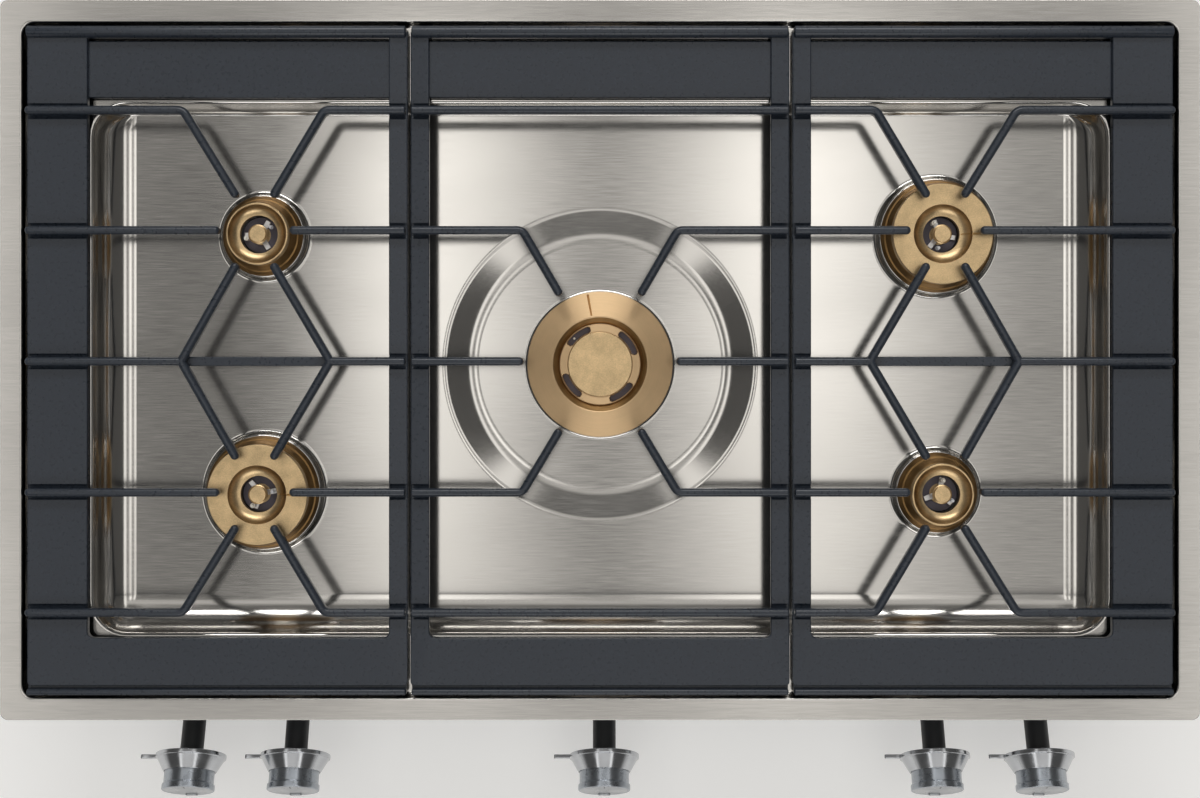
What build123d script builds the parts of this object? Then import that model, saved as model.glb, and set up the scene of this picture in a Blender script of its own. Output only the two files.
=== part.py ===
from build123d import *
import os
from math import cos, radians, sin

os.makedirs("parts", exist_ok=True)

# Built-in gas cooktop, 90 cm wide, with five brass burners and three cast pan supports.
# Origin: middle of the frame, on the worktop's surface. +X right, +Y rear, +Z up. Millimetres.

# ------------------------------------------------------------------ clearances and fits
SEAT_GAP = 0.3            # round faces of different pieces that are not a fit
RUN_FIT = 0.05            # radial running clearance of shafts in their bores
PIPE_GAP = 0.1            # between a pipe's end and the face it is screwed against
EMBED = 1.0               # how far one part of a casting runs into the next

# ------------------------------------------------------------------ frame and pressed basin
PLATE_LENGTH = 908.0
PLATE_WIDTH = 545.0
PLATE_CORNER_R = 6.0
SHEET = 1.5
SEAL_THICKNESS = 1.5
SEAL_INSET = 3.0
SEAL_WIDTH = 5.0
RIM_AT_SIDES = 16.5       # flat frame between the recess and the outer edge
RIM_AT_ENDS = 16.75
RECESS_LENGTH = PLATE_LENGTH - 2 * RIM_AT_SIDES
RECESS_WIDTH = PLATE_WIDTH - 2 * RIM_AT_ENDS
RECESS_CORNER_R = 10.0
RECESS_FILLET = 3.0
RIM_ROUND = 1.3
LEDGE_Z = -8.0
LEDGE_AT_SIDES = 50.5     # ledge that carries the supports
LEDGE_AT_ENDS = 53.75
BASIN_LENGTH = RECESS_LENGTH - 2 * LEDGE_AT_SIDES
BASIN_WIDTH = RECESS_WIDTH - 2 * LEDGE_AT_ENDS
BASIN_Y = -6.5
BASIN_CORNER_R = 14.0
BASIN_DRAFT = 7.0         # degrees
BASIN_FILLET = 12.0
BASIN_EDGE_ROUND = 3.0
BASIN_DEPTH = 28.0
DISH_R = 121.0            # round dish below the wok burner, at the basin floor
DISH_SLOPE_WIDTH = 21.0
DISH_DEPTH = 8.0
DISH_FILLET = 8.0
COLLAR_HEIGHT = 8.0       # raised collar under each burner
COLLAR_SLOPE_WIDTH = 7.0
COLLAR_FILLET = 2.5

FRAME_TOP = SEAL_THICKNESS + SHEET
FLOOR_Z = LEDGE_Z - BASIN_DEPTH
DISH_Z = FLOOR_Z - DISH_DEPTH

# ------------------------------------------------------------------ burners
BURNER_X = 261.0
BURNER_ROW = 99.3         # rows in front of and behind the wok burner
BURNER_Y = -3.2           # the wok burner's place
SLIT_WIDTH = 0.6          # fine radial groove that carries the flame across a ring
SLIT_DEPTH = 0.8
SLIT_REACH = 9.0          # how far a wide ring's slit runs out over its land
WOK_SLIT_ANGLE = 100.0    # degrees from the right-hand side


class BurnerSize:
    """Radii of one burner, from the outside inwards, and the number of its flame ports."""

    def __init__(self, skirt_r, ring_r, land_r, bowl_r, bore_r, hole_r, ports):
        self.skirt_r = skirt_r        # widest radius of the base
        self.ring_r = ring_r          # outside of the ring
        self.land_r = land_r          # where the ring's flat land ends and its bowl begins
        self.bowl_r = bowl_r          # bottom of the bowl
        self.bore_r = bore_r          # bore of the base
        self.hole_r = hole_r          # hole in the collar
        self.ports = ports


SMALL = BurnerSize(31.0, 23.7, 22.3, 14.5, 17.5, 22.0, 18)
LARGE = BurnerSize(43.8, 38.2, 22.4, 14.0, 29.5, 33.0, 28)
WOK = BurnerSize(54.0, 55.6, 35.7, 31.2, 44.0, 47.0, 36)

RING_TOP = -3.5
RING_HEIGHT = 9.0
CROWN_HEIGHT = 2.5        # slotted rim of the base, on which the ring sits
PORT_WIDTH = 1.3
PORT_DEPTH = 1.5
CROWN_INSET = 1.7         # crown's radius below the ring's
CROWN_STEP = 2.0
GROOVE_DEPTH = 0.9
BASE_FOOT = 2.0
RING_CHAMFER = 0.6
SPIGOT_LENGTH = 4.0
BOWL_DEPTH = 7.3
BOWL_SAG = 1.6
WOK_RING_HEIGHT = 18.0
WOK_RING_EDGE_DROP = 6.5  # how far the wok ring's cone falls to its outer edge
WOK_GROOVE_DROP = 3.5
WOK_RIM_HEIGHT = 2.2      # upright edge below the wok ring's cone, with its chamfers
WOK_INNER_DROP = 1.8      # inner ring's top below the wok ring's
WOK_INNER_THICKNESS = 7.0
WOK_INNER_FOOT_R = 21.0
WOK_INNER_FOOT_WALL = 4.0
WOK_CAP_SEAT = 1.0        # depth of the seat for the cap
WOK_CAP_SPIGOT = 3.0
WOK_CAP_R = 24.6
WOK_CAP_THICKNESS = 2.2
WOK_SLOT_R = 27.8
WOK_SLOT_WIDTH = 4.4
WOK_SLOT_ARC = 44.0
WOK_DISC_Z = -20.0
WOK_DISC_THICKNESS = 2.0
CUP_WALL = 2.0
CUP_BOTTOM_Z = -62.0
CUP_TOP_SPIGOT = 3.0
CUP_FLANGE_INSET = 4.0
INJECTOR_Z = -70.0
INJECTOR_R = 5.0
INJECTOR_BORE_R = 0.7
INJECTOR_TIP_R = 1.5
INJECTOR_TIP = 1.5
HOLDER_R = 9.0
POST_R = 7.5              # middle tube of the cup, which carries the hub
POST_BORE_R = 4.2
POST_TOP = -24.5
HUB_R = 6.5
HUB_TOP = -5.0
HUB_HEIGHT = 3.0
HUB_STEM_R = 3.2
HUB_SHANK = 6.0           # part of the hub that stands in the post
HUB_BRIM = 0.9            # thin brim below the hub's cap
SPIDER_THICKNESS = 1.2
SPIDER_SEAT = 4.0         # height of the shoulder under the spider
SPIDER_SLOT_WIDTH = 3.6
SPIDER_SLOT_ARC = 50.0
PROBE_R = 10.3            # radius on which electrode and flame sensor stand
ELECTRODE_R = 1.9
ELECTRODE_TOP = -9.5
ELECTRODE_TIP_R = 0.9
ELECTRODE_TIP = 3.0
SENSOR_R = 1.6
SENSOR_TOP = -11.0
SENSOR_TIP_R = 1.2
SENSOR_TIP = 5.0

COLLAR_Z = FLOOR_Z + COLLAR_HEIGHT
WOK_COLLAR_Z = DISH_Z + COLLAR_HEIGHT

# size, x, y, collar's top, angle of electrode, angle of flame sensor
BURNERS = [
    (SMALL, -BURNER_X, BURNER_Y + BURNER_ROW, COLLAR_Z, 195, 35),
    (LARGE, -BURNER_X, BURNER_Y - BURNER_ROW, COLLAR_Z, 240, 10),
    (WOK, 0.0, BURNER_Y, WOK_COLLAR_Z, 135, 45),
    (SMALL, BURNER_X, BURNER_Y - BURNER_ROW, COLLAR_Z, 80, 330),
    (LARGE, BURNER_X, BURNER_Y + BURNER_ROW, COLLAR_Z, 120, 260),
]

# ------------------------------------------------------------------ pan supports
GRID_Y = -1.0             # middle bar
INNER_ROW = 98.8
SUPPORT_GAP_X = 144.6     # middle of the gap between two supports
SUPPORT_GAP = 4.0
SUPPORT_PLAY_SIDES = 3.8  # between a support and the recess's wall
SUPPORT_PLAY_FRONT = 2.25
SUPPORT_PLAY_REAR = 3.05
SUPPORT_OUTER_X = RECESS_LENGTH / 2 - SUPPORT_PLAY_SIDES
SIDE_LAND = 45.7
RAIL_LAND = 13.2
PLATE_TOP = 3.0
PLATE_BOTTOM = -3.0
PLATE_ROUND = 1.0
FRONT_LIP_WIDTH = 5.0
FRONT_LIP_TOP = 6.0
FRONT_LIP_Y = SUPPORT_PLAY_FRONT + FRONT_LIP_WIDTH / 2 - RECESS_WIDTH / 2
GROOVE_WIDTH = 2.0        # hollow between the front lip and the apron
GROOVE_FLOOR = 0.0
APRON_WIDTH = 36.0
APRON_FRONT_Y = FRONT_LIP_Y + FRONT_LIP_WIDTH / 2 + GROOVE_WIDTH
APRON_BACK_Y = APRON_FRONT_Y + APRON_WIDTH
APRON_CORNER_R = 5.0
REAR_LIP_WIDTH = 8.8
REAR_LIP_TOP = 8.0
REAR_LIP_Y = RECESS_WIDTH / 2 - SUPPORT_PLAY_REAR - REAR_LIP_WIDTH / 2
REAR_SLOT_WIDTH = 1.7     # open slot between the rear lip and the sunk panel
PANEL_WIDTH = 43.3
PANEL_REAR_Y = REAR_LIP_Y - REAR_LIP_WIDTH / 2 - REAR_SLOT_WIDTH
PANEL_FRONT_Y = PANEL_REAR_Y - PANEL_WIDTH
OUTER_ROW_INSET = 15.3    # outer bars from the opening's front and rear edges
OUTER_ROW = (PANEL_FRONT_Y - APRON_BACK_Y) / 2 - OUTER_ROW_INSET
PANEL_TOP = -0.5
PANEL_THICKNESS = 3.5
BAR_WIDTH = 6.4
BAR_FOOT_WIDTH = 5.4
BAR_TOP = 11.0
BAR_BOTTOM = 0.5
BAR_BEND_R = 7.0
STAR_X = 260.5            # middle of the six fingers over a side burner
TIP_DX = 13.3             # slanting tips from the star's middle
TIP_DY = 24.9
ROW_TIP_DX = 26.3
BEND_OUT_DX = 54.0
BEND_IN_DX = 52.5
JUNCTION_OUT_DX = 55.5
JUNCTION_IN_DX = 57.0
WEB_WIDTH = 7.0
WEB_TOP = 3.0
WOK_BEND_X = 58.5
WOK_TIP_X = 29.9
WOK_TIP_REAR_DY = 49.6
WOK_TIP_FRONT_DY = 51.0
WOK_ROW_TIP_X = 57.4
FOOT_R = 5.0
FOOT_FROM_FRONT = 14.5
FOOT_FROM_REAR = 26.3
FOOT_FRONT_Y = APRON_FRONT_Y + FOOT_FROM_FRONT
FOOT_REAR_Y = REAR_LIP_Y - FOOT_FROM_REAR

# ------------------------------------------------------------------ housing below the worktop
HOUSING_INSET_SIDES = 3.5
HOUSING_INSET_ENDS = 3.25
HOUSING_LENGTH = RECESS_LENGTH - 2 * HOUSING_INSET_SIDES
HOUSING_WIDTH = RECESS_WIDTH - 2 * HOUSING_INSET_ENDS
HOUSING_SHEET = 1.2
HOUSING_FLANGE = 12.0
HOUSING_SEAM = 0.15       # between the folded channels that make the housing
COVER_CORNER_R = 2.0
HOUSING_BOTTOM = -107.0
VENT_LENGTH = 46.0
VENT_WIDTH = 5.0
VENT_PITCH_X = 78.0
VENT_PITCH_Y = 60.0
VENT_COLUMNS = 8
VENT_ROWS = 3
COVER_SHEET = 2.0
COVER_SCREW_R = 1.9
COVER_SCREW_HEAD_R = 3.6
COVER_SCREW_HEAD = 1.7
COVER_SCREW_LENGTH = 6.0
COVER_SCREW_INSET = 6.0
COVER_SCREW_END = 14.0    # outermost screws from the housing's ends
cover_screw_x = HOUSING_LENGTH / 2 - COVER_SCREW_END
COVER_SCREW_PLACES = [
    (share * cover_screw_x, side * (HOUSING_WIDTH / 2 - COVER_SCREW_INSET))
    for share in (-1, -1 / 3, 1 / 3, 1) for side in (-1, 1)
]
BRACKET_X_REAR = 300.0
BRACKET_X_FRONT = 130.0
BRACKET_WIDTH = 20.0
BRACKET_SHEET = 1.5
BRACKET_REACH = 24.0
BRACKET_TOP = -48.5
BRACKET_HEIGHT = 30.0
BRACKET_SCREW_DROP = 18.0
BRACKET_SCREW_R = 2.0
BRACKET_SCREW_HEAD_R = 4.0
BRACKET_SCREW_HEAD = 2.4
BRACKET_SCREW_LENGTH = 5.0
CLAMP_SCREW_R = 2.5
CLAMP_SCREW_HEAD_R = 4.5
CLAMP_SCREW_HEAD = 3.0
CLAMP_SCREW_TOP = -31.0
CLAMP_SCREW_LENGTH = 30.0
CLAMP_PAD_R = 4.0
CLAMP_PAD = 2.0
BRACKET_PLACES = [
    (-BRACKET_X_REAR, 1), (BRACKET_X_REAR, 1), (-BRACKET_X_FRONT, -1), (BRACKET_X_FRONT, -1),
]

# ------------------------------------------------------------------ gas rail, taps and knobs
KNOB_PITCH = 81.7         # within the left and the right pair
KNOB_FROM_LEFT = 113.6    # outer knobs from the housing's ends
KNOB_FROM_RIGHT = 90.0
KNOB_LEFT_X = KNOB_FROM_LEFT - HOUSING_LENGTH / 2
KNOB_MIDDLE_X = 3.3
KNOB_RIGHT_X = HOUSING_LENGTH / 2 - KNOB_FROM_RIGHT
KNOB_X = [KNOB_LEFT_X, KNOB_LEFT_X + KNOB_PITCH, KNOB_MIDDLE_X, KNOB_RIGHT_X - KNOB_PITCH, KNOB_RIGHT_X]
KNOB_REACH = 58.2         # middle of the bezel's rim in front of the housing
KNOB_Y = -HOUSING_WIDTH / 2 - KNOB_REACH
KNOB_Z = -42.0
KNOB_TILT = 24.0          # degrees by which the knobs look up
BEZEL_R = 27.3
BEZEL_RIM = 3.3
BEZEL_LENGTH = 12.0       # from the rim's middle to the front of its cone
BEZEL_FRONT_R = 20.4
BEZEL_TAB_LENGTH = 12.3
BEZEL_TAB_WIDTH = 3.2
BEZEL_EDGE = 0.6
BEZEL_BEAD = 1.2
BEZEL_FLOOR = 1.0         # front of the bezel's floor, ahead of the rim's middle
KNOB_R = 19.3
KNOB_BACK = 5.5
KNOB_LIP_START = 21.0
KNOB_FRONT = 26.3
KNOB_LIP_R = 20.3
KNOB_LIP_ROUND = 0.9
KNOB_PUSH = 4.0
FACE_R = 18.2
FACE_THICKNESS = 1.0
INDEX_LENGTH = 4.6
INDEX_WIDTH = 0.8
INDEX_OUT = 15.5
INDEX_DEPTH = 0.4
PIP_WIDTH = 9.6
PIP_HEIGHT = 3.4
PIP_PROUD = 1.2
SPINDLE_R = 4.0
SPINDLE_FRONT = 17.2      # in front of the rim's middle
SPINDLE_BACK = 88.0
SLEEVE_R = 9.0
SLEEVE_BORE_R = 6.0
SLEEVE_COLLAR = 3.0
TAP_R = 11.0
TAP_FRONT = 71.0
TAP_BACK = 102.0
PLUG_R = 7.0
PLUG_FRONT = 74.0
PLUG_BACK = 96.0
PLUG_PLAY = 0.3
RAIL_R = 8.0
RAIL_TO_TAP = 19.0        # distance between the rail's and a tap's middle lines
RAIL_TAP_AT = 85.0        # where along the tap's axis the rail passes below it
RAIL_PAST_TAP = 31.6
RAIL_FROM_END = 34.0
RAIL_FROM_REAR = 16.5
RAIL_LEFT_X = KNOB_LEFT_X - RAIL_PAST_TAP
RAIL_RIGHT_X = HOUSING_LENGTH / 2 - RAIL_FROM_END
RAIL_BEND_R = 30.0
RAIL_REAR_Y = HOUSING_WIDTH / 2 - RAIL_FROM_REAR
TAP_BLOCK = (20.0, 20.0, 24.0)
TAP_BLOCK_LIFT = 2.0
OUTLET_R = 6.0
OUTLET_START = 20.3       # behind the rail's middle line
OUTLET_LENGTH = 12.5
PIPE_Z = -84.0
PIPE_R = 4.0
PIPE_BEND_R = 8.0
INLET_R = 10.48           # G 1/2 thread
INLET_NUT_R = 11.8
INLET_NUT_LENGTH = 12.0
INLET_NECK_R = 9.6
INLET_COLLAR_R = 13.0
INLET_COLLAR = 2.0
INLET_THREAD = 20.0
INLET_BORE_R = 6.5
RAIL_BRACKET_X = [
    KNOB_LEFT_X + KNOB_PITCH / 2, KNOB_MIDDLE_X + KNOB_PITCH, KNOB_RIGHT_X - KNOB_PITCH / 2,
]
RAIL_BRACKET_WIDTH = 12.0
RAIL_BRACKET_DEPTH = 20.0
SPARK_BOX = (90.0, 46.0, 32.0)
SPARK_BOX_FROM_REAR = 62.5
SPARK_BOX_AT = (0.0, HOUSING_WIDTH / 2 - SPARK_BOX_FROM_REAR)
SPARK_BOX_ROUND = 4.0
SPARK_LEAD_R = 4.0
SPARK_LEAD_HEIGHT = 7.0
TERMINAL_BOX = (70.0, 40.0, 36.0)
TERMINAL_BOX_ROUND = 3.0
TERMINAL_LID_ROUND = 1.5
TERMINAL_FROM_END = 64.0
TERMINAL_X = TERMINAL_FROM_END - HOUSING_LENGTH / 2
GLAND_R = 9.0
GLAND_BORE_R = 4.0
GLAND_NUT_R = 12.0
GLAND_NUT_LENGTH = 4.0
GLAND_TAPER = 2.0
GLAND_LENGTH = 20.0
GLAND_Z = HOUSING_BOTTOM + HOUSING_SHEET + TERMINAL_BOX[2] / 2

tilt_cos = cos(radians(KNOB_TILT))
tilt_sin = sin(radians(KNOB_TILT))
wall_rear_y = HOUSING_WIDTH / 2
rail_y = KNOB_Y + RAIL_TAP_AT * tilt_cos - RAIL_TO_TAP * tilt_sin
rail_z = KNOB_Z - RAIL_TAP_AT * tilt_sin - RAIL_TO_TAP * tilt_cos
outlet_y = rail_y + OUTLET_START


def knob_plane(x, back):
    """Plane square to a knob's axis, the given distance behind the rim's middle, facing the user."""
    middle = (x, KNOB_Y + back * tilt_cos, KNOB_Z - back * tilt_sin)
    return Plane(origin=middle, x_dir=(1, 0, 0), z_dir=(0, -tilt_cos, tilt_sin))


def upright_plane(x, y):
    """Plane through (x, y) whose own x is a radius and whose own y is the height."""
    return Plane(origin=(x, y, 0), x_dir=(1, 0, 0), z_dir=(0, -1, 0))


def turned(x, y, *points, mode=Mode.ADD):
    """Solid that the closed outline of (radius, height) points makes about the upright at (x, y)."""
    with BuildSketch(upright_plane(x, y)) as outline:
        with BuildLine():
            Polyline(*points, close=True)
        make_face()
    revolve(outline.sketch, axis=Axis((x, y, 0), (0, 0, 1)), mode=mode)


def turned_on(axis, plane, *points, mode=Mode.ADD):
    """The same on any axis: the plane's own y runs along the axis, its own x is the radius."""
    with BuildSketch(plane) as outline:
        with BuildLine():
            Polyline(*points, close=True)
        make_face()
    revolve(outline.sketch, axis=axis, mode=mode)


# ================================================================== frame and basin, one pressing
def pressed_form(grow):
    """Solid inside the pressing: grow 0 gives the sheet's upper side, grow SHEET its lower side."""
    with BuildPart() as form:
        with BuildSketch(Plane.XY.offset(LEDGE_Z - grow)):
            RectangleRounded(
                RECESS_LENGTH + 2 * grow, RECESS_WIDTH + 2 * grow, RECESS_CORNER_R + grow
            )
        extrude(amount=FRAME_TOP + EMBED - LEDGE_Z + grow)
        fillet(form.edges().group_by(Axis.Z)[0], RECESS_FILLET + grow)
        with BuildSketch(Plane.XY.offset(LEDGE_Z - grow)):
            with Locations((0, BASIN_Y)):
                RectangleRounded(
                    BASIN_LENGTH + 2 * grow, BASIN_WIDTH + 2 * grow, BASIN_CORNER_R + grow
                )
        extrude(amount=-BASIN_DEPTH, taper=BASIN_DRAFT)
        fillet(form.edges().group_by(Axis.Z)[0], BASIN_FILLET + grow)
        ledge = form.faces().filter_by(
            lambda face: len(face.inner_wires()) == 1 and abs(face.center().Z - LEDGE_Z + grow) < EMBED
        )[0]
        fillet(ledge.inner_wires()[0].edges(), BASIN_EDGE_ROUND - grow)
        turned(
            0, BURNER_Y,
            (0, FLOOR_Z - grow + EMBED), (DISH_R, FLOOR_Z - grow + EMBED),
            (DISH_R, FLOOR_Z - grow), (DISH_R - DISH_SLOPE_WIDTH, DISH_Z - grow), (0, DISH_Z - grow),
        )
        dish_edges = form.edges().filter_by(GeomType.CIRCLE).filter_by(
            lambda edge: edge.radius > DISH_R - DISH_SLOPE_WIDTH - EMBED
        )
        fillet(dish_edges, DISH_FILLET)
        collar_edges = []
        for size, x, y, top, _, _ in BURNERS:
            foot_r = size.skirt_r + COLLAR_SLOPE_WIDTH - grow / 2
            head_r = size.skirt_r + EMBED - grow / 2
            with BuildSketch(upright_plane(x, y)):
                with BuildLine():
                    foot_z = top - COLLAR_HEIGHT - grow
                    Polyline((0, foot_z), (foot_r, foot_z), (head_r, top - grow), (0, top - grow), close=True)
                make_face()
            revolve(axis=Axis((x, y, 0), (0, 0, 1)), mode=Mode.SUBTRACT)
            collar_edges += form.edges(Select.LAST).filter_by(GeomType.CIRCLE)
        fillet(collar_edges, COLLAR_FILLET)
    return form.part


pressing_inside = pressed_form(0)
pressing_outside = pressed_form(SHEET)

with BuildPart() as top_plate:
    with BuildSketch(Plane.XY.offset(SEAL_THICKNESS)):
        RectangleRounded(PLATE_LENGTH, PLATE_WIDTH, PLATE_CORNER_R)
    extrude(amount=SHEET)
    add(split(pressing_outside, bisect_by=Plane.XY.offset(FRAME_TOP), keep=Keep.BOTTOM, mode=Mode.PRIVATE))
    add(pressing_inside, mode=Mode.SUBTRACT)
    for size, x, y, top, _, _ in BURNERS:
        with BuildSketch(Plane.XY.offset(top)):
            with Locations((x, y)):
                Circle(size.hole_r)
        extrude(amount=2 * SHEET, both=True, mode=Mode.SUBTRACT)
    rim = top_plate.faces().filter_by(GeomType.PLANE).sort_by(Axis.Z)[-1]
    fillet(rim.inner_wires()[0].edges(), RIM_ROUND)
top_plate.part.label = "top_plate"
export_step(top_plate.part, "parts/top_plate.step")

with BuildPart() as worktop_seal:
    with BuildSketch():
        RectangleRounded(PLATE_LENGTH - 2 * SEAL_INSET, PLATE_WIDTH - 2 * SEAL_INSET, PLATE_CORNER_R)
        RectangleRounded(
            PLATE_LENGTH - 2 * SEAL_INSET - 2 * SEAL_WIDTH,
            PLATE_WIDTH - 2 * SEAL_INSET - 2 * SEAL_WIDTH,
            PLATE_CORNER_R / 2,
            mode=Mode.SUBTRACT,
        )
    extrude(amount=SEAL_THICKNESS)
worktop_seal.part.label = "worktop_seal"
export_step(worktop_seal.part, "parts/worktop_seal.step")


# ================================================================== cast pan supports
def bar(*points, width=BAR_WIDTH, foot=BAR_FOOT_WIDTH, top=BAR_TOP, bottom=BAR_BOTTOM, tip=True):
    """Round-topped cast bar along the points; a tip rounds off its last end."""
    shoulder = top - width / 2
    along = (Vector(*points[1]) - Vector(*points[0])).normalized()
    across = Vector(-along.Y, along.X, 0)
    with BuildLine() as route:
        if len(points) > 2:
            FilletPolyline(*points, radius=BAR_BEND_R)
        else:
            Line(*points)
    with BuildSketch(Plane(origin=points[0], x_dir=across, z_dir=along)) as section:
        with BuildLine():
            Polyline((-width / 2, shoulder), (-foot / 2, bottom), (foot / 2, bottom), (width / 2, shoulder))
            ThreePointArc((width / 2, shoulder), (0, top), (-width / 2, shoulder))
        make_face()
    sweep(section.sketch, path=route.wires()[0])
    if tip:
        end_x, end_y = points[-1]
        with BuildSketch(upright_plane(end_x, end_y)) as half_section:
            with BuildLine():
                Polyline((0, top), (0, bottom), (foot / 2, bottom), (width / 2, shoulder))
                CenterArc((0, shoulder), width / 2, 0, 90)
            make_face()
        revolve(half_section.sketch, axis=Axis((end_x, end_y, 0), (0, 0, 1)))


def tip_centre(x, y, from_x, from_y):
    """Middle of a finger's rounded end whose outermost point is (x, y), coming from the other point."""
    back = (Vector(from_x, from_y) - Vector(x, y)).normalized() * (BAR_WIDTH / 2)
    return (x + back.X, y + back.Y)


def cast_plate(low_x, high_x, low_land, high_land):
    """Lands, apron, sunk rear panel and the two end lips of one support."""
    middle_x = (low_x + high_x) / 2
    open_low, open_high = low_x + low_land, high_x - high_land
    with BuildSketch(Plane.XY.offset(PLATE_BOTTOM)) as land:
        with Locations((middle_x, (APRON_FRONT_Y + REAR_LIP_Y) / 2)):
            Rectangle(high_x - low_x, REAR_LIP_Y - APRON_FRONT_Y)
        with Locations(((open_low + open_high) / 2, (APRON_BACK_Y + REAR_LIP_Y) / 2 + APRON_CORNER_R)):
            RectangleRounded(
                open_high - open_low,
                REAR_LIP_Y - APRON_BACK_Y + 2 * APRON_CORNER_R,
                APRON_CORNER_R,
                mode=Mode.SUBTRACT,
            )
    plate = extrude(land.sketch, amount=PLATE_TOP - PLATE_BOTTOM)
    fillet(plate.edges().group_by(Axis.Z)[-1], PLATE_ROUND)
    with BuildSketch(Plane.XY.offset(PLATE_BOTTOM)) as groove:
        with Locations((middle_x, (FRONT_LIP_Y + APRON_FRONT_Y + EMBED) / 2)):
            Rectangle(high_x - low_x, APRON_FRONT_Y + EMBED - FRONT_LIP_Y)
    extrude(groove.sketch, amount=GROOVE_FLOOR - PLATE_BOTTOM)
    with BuildSketch(Plane.XY.offset(PANEL_TOP)) as panel:
        with Locations(((open_low + open_high) / 2, (PANEL_FRONT_Y + PANEL_REAR_Y) / 2)):
            Rectangle(open_high - open_low + 2 * EMBED, PANEL_REAR_Y - PANEL_FRONT_Y)
    extrude(panel.sketch, amount=-PANEL_THICKNESS)
    bar(
        (low_x, FRONT_LIP_Y), (high_x, FRONT_LIP_Y),
        width=FRONT_LIP_WIDTH, foot=FRONT_LIP_WIDTH, top=FRONT_LIP_TOP, bottom=PLATE_BOTTOM, tip=False,
    )
    bar(
        (low_x, REAR_LIP_Y), (high_x, REAR_LIP_Y),
        width=REAR_LIP_WIDTH, foot=REAR_LIP_WIDTH, top=REAR_LIP_TOP, bottom=PLATE_BOTTOM, tip=False,
    )


rail_x = SUPPORT_GAP_X + SUPPORT_GAP / 2
with BuildPart() as pan_support_left:
    cast_plate(-SUPPORT_OUTER_X, -rail_x, SIDE_LAND, RAIL_LAND)
    for side in (1, -1):
        outer_y = GRID_Y + side * OUTER_ROW
        inner_y = GRID_Y + side * INNER_ROW
        far_tip_y = inner_y + side * TIP_DY
        near_tip_y = inner_y - side * TIP_DY
        for start_x, bend_dx, tip_dx in (
            (-SUPPORT_OUTER_X, -BEND_OUT_DX, -TIP_DX),
            (-rail_x, BEND_IN_DX, TIP_DX),
        ):
            bend_x = -STAR_X + bend_dx
            tip = tip_centre(-STAR_X + tip_dx, far_tip_y, bend_x, outer_y)
            bar((start_x, outer_y), (bend_x, outer_y), tip)
        bar((-SUPPORT_OUTER_X, inner_y), (-STAR_X - ROW_TIP_DX - BAR_WIDTH / 2, inner_y))
        bar((-rail_x, inner_y), (-STAR_X + ROW_TIP_DX + BAR_WIDTH / 2, inner_y))
        for junction_x, tip_dx in (
            (-STAR_X - JUNCTION_OUT_DX, -TIP_DX),
            (-STAR_X + JUNCTION_IN_DX, TIP_DX),
        ):
            tip = tip_centre(-STAR_X + tip_dx, near_tip_y, junction_x, GRID_Y)
            bar((junction_x, GRID_Y), tip)
    bar((-SUPPORT_OUTER_X, GRID_Y), (-STAR_X - JUNCTION_OUT_DX, GRID_Y))
    bar((-rail_x, GRID_Y), (-STAR_X + JUNCTION_IN_DX, GRID_Y))
    with BuildSketch(Plane.XY.offset(WEB_TOP)):
        with Locations((-STAR_X + (JUNCTION_IN_DX - JUNCTION_OUT_DX) / 2, GRID_Y)):
            Rectangle(JUNCTION_IN_DX + JUNCTION_OUT_DX, WEB_WIDTH)
    extrude(amount=BAR_BOTTOM - WEB_TOP)
pan_support_left.part.label = "pan_support_left"
export_step(pan_support_left.part, "parts/pan_support_left.step")

with BuildPart() as pan_support_right:
    mirror(pan_support_left.part, about=Plane.YZ)
pan_support_right.part.label = "pan_support_right"
export_step(pan_support_right.part, "parts/pan_support_right.step")

centre_x = SUPPORT_GAP_X - SUPPORT_GAP / 2
with BuildPart() as pan_support_centre:
    cast_plate(-centre_x, centre_x, RAIL_LAND, RAIL_LAND)
    for side, tip_dy in ((1, WOK_TIP_REAR_DY), (-1, WOK_TIP_FRONT_DY)):
        outer_y = GRID_Y + side * OUTER_ROW
        inner_y = GRID_Y + side * INNER_ROW
        bar((-centre_x, outer_y), (centre_x, outer_y), tip=False)
        for hand in (1, -1):
            bend = (hand * WOK_BEND_X, inner_y)
            tip = tip_centre(hand * WOK_TIP_X, GRID_Y + side * tip_dy, *bend)
            bar((hand * centre_x, inner_y), bend, tip)
    for hand in (1, -1):
        bar((hand * centre_x, GRID_Y), (hand * (WOK_ROW_TIP_X + BAR_WIDTH / 2), GRID_Y))
pan_support_centre.part.label = "pan_support_centre"
export_step(pan_support_centre.part, "parts/pan_support_centre.step")

side_foot_x = SUPPORT_OUTER_X - SIDE_LAND / 2
rail_foot_x = rail_x + RAIL_LAND / 2
centre_foot_x = centre_x - RAIL_LAND / 2
for name, foot_xs in (
    ("left", (-side_foot_x, -rail_foot_x)),
    ("centre", (-centre_foot_x, centre_foot_x)),
    ("right", (rail_foot_x, side_foot_x)),
):
    with BuildPart() as support_feet:
        with BuildSketch(Plane.XY.offset(LEDGE_Z)):
            with Locations([(x, y) for x in foot_xs for y in (FOOT_FRONT_Y, FOOT_REAR_Y)]):
                Circle(FOOT_R)
        extrude(amount=PLATE_BOTTOM - LEDGE_Z)
    support_feet.part.label = f"support_feet_{name}"
    export_step(support_feet.part, f"parts/support_feet_{name}.step")

# ================================================================== burners
ring_bottom = RING_TOP - RING_HEIGHT
wok_ring_bottom = RING_TOP - WOK_RING_HEIGHT


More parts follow.
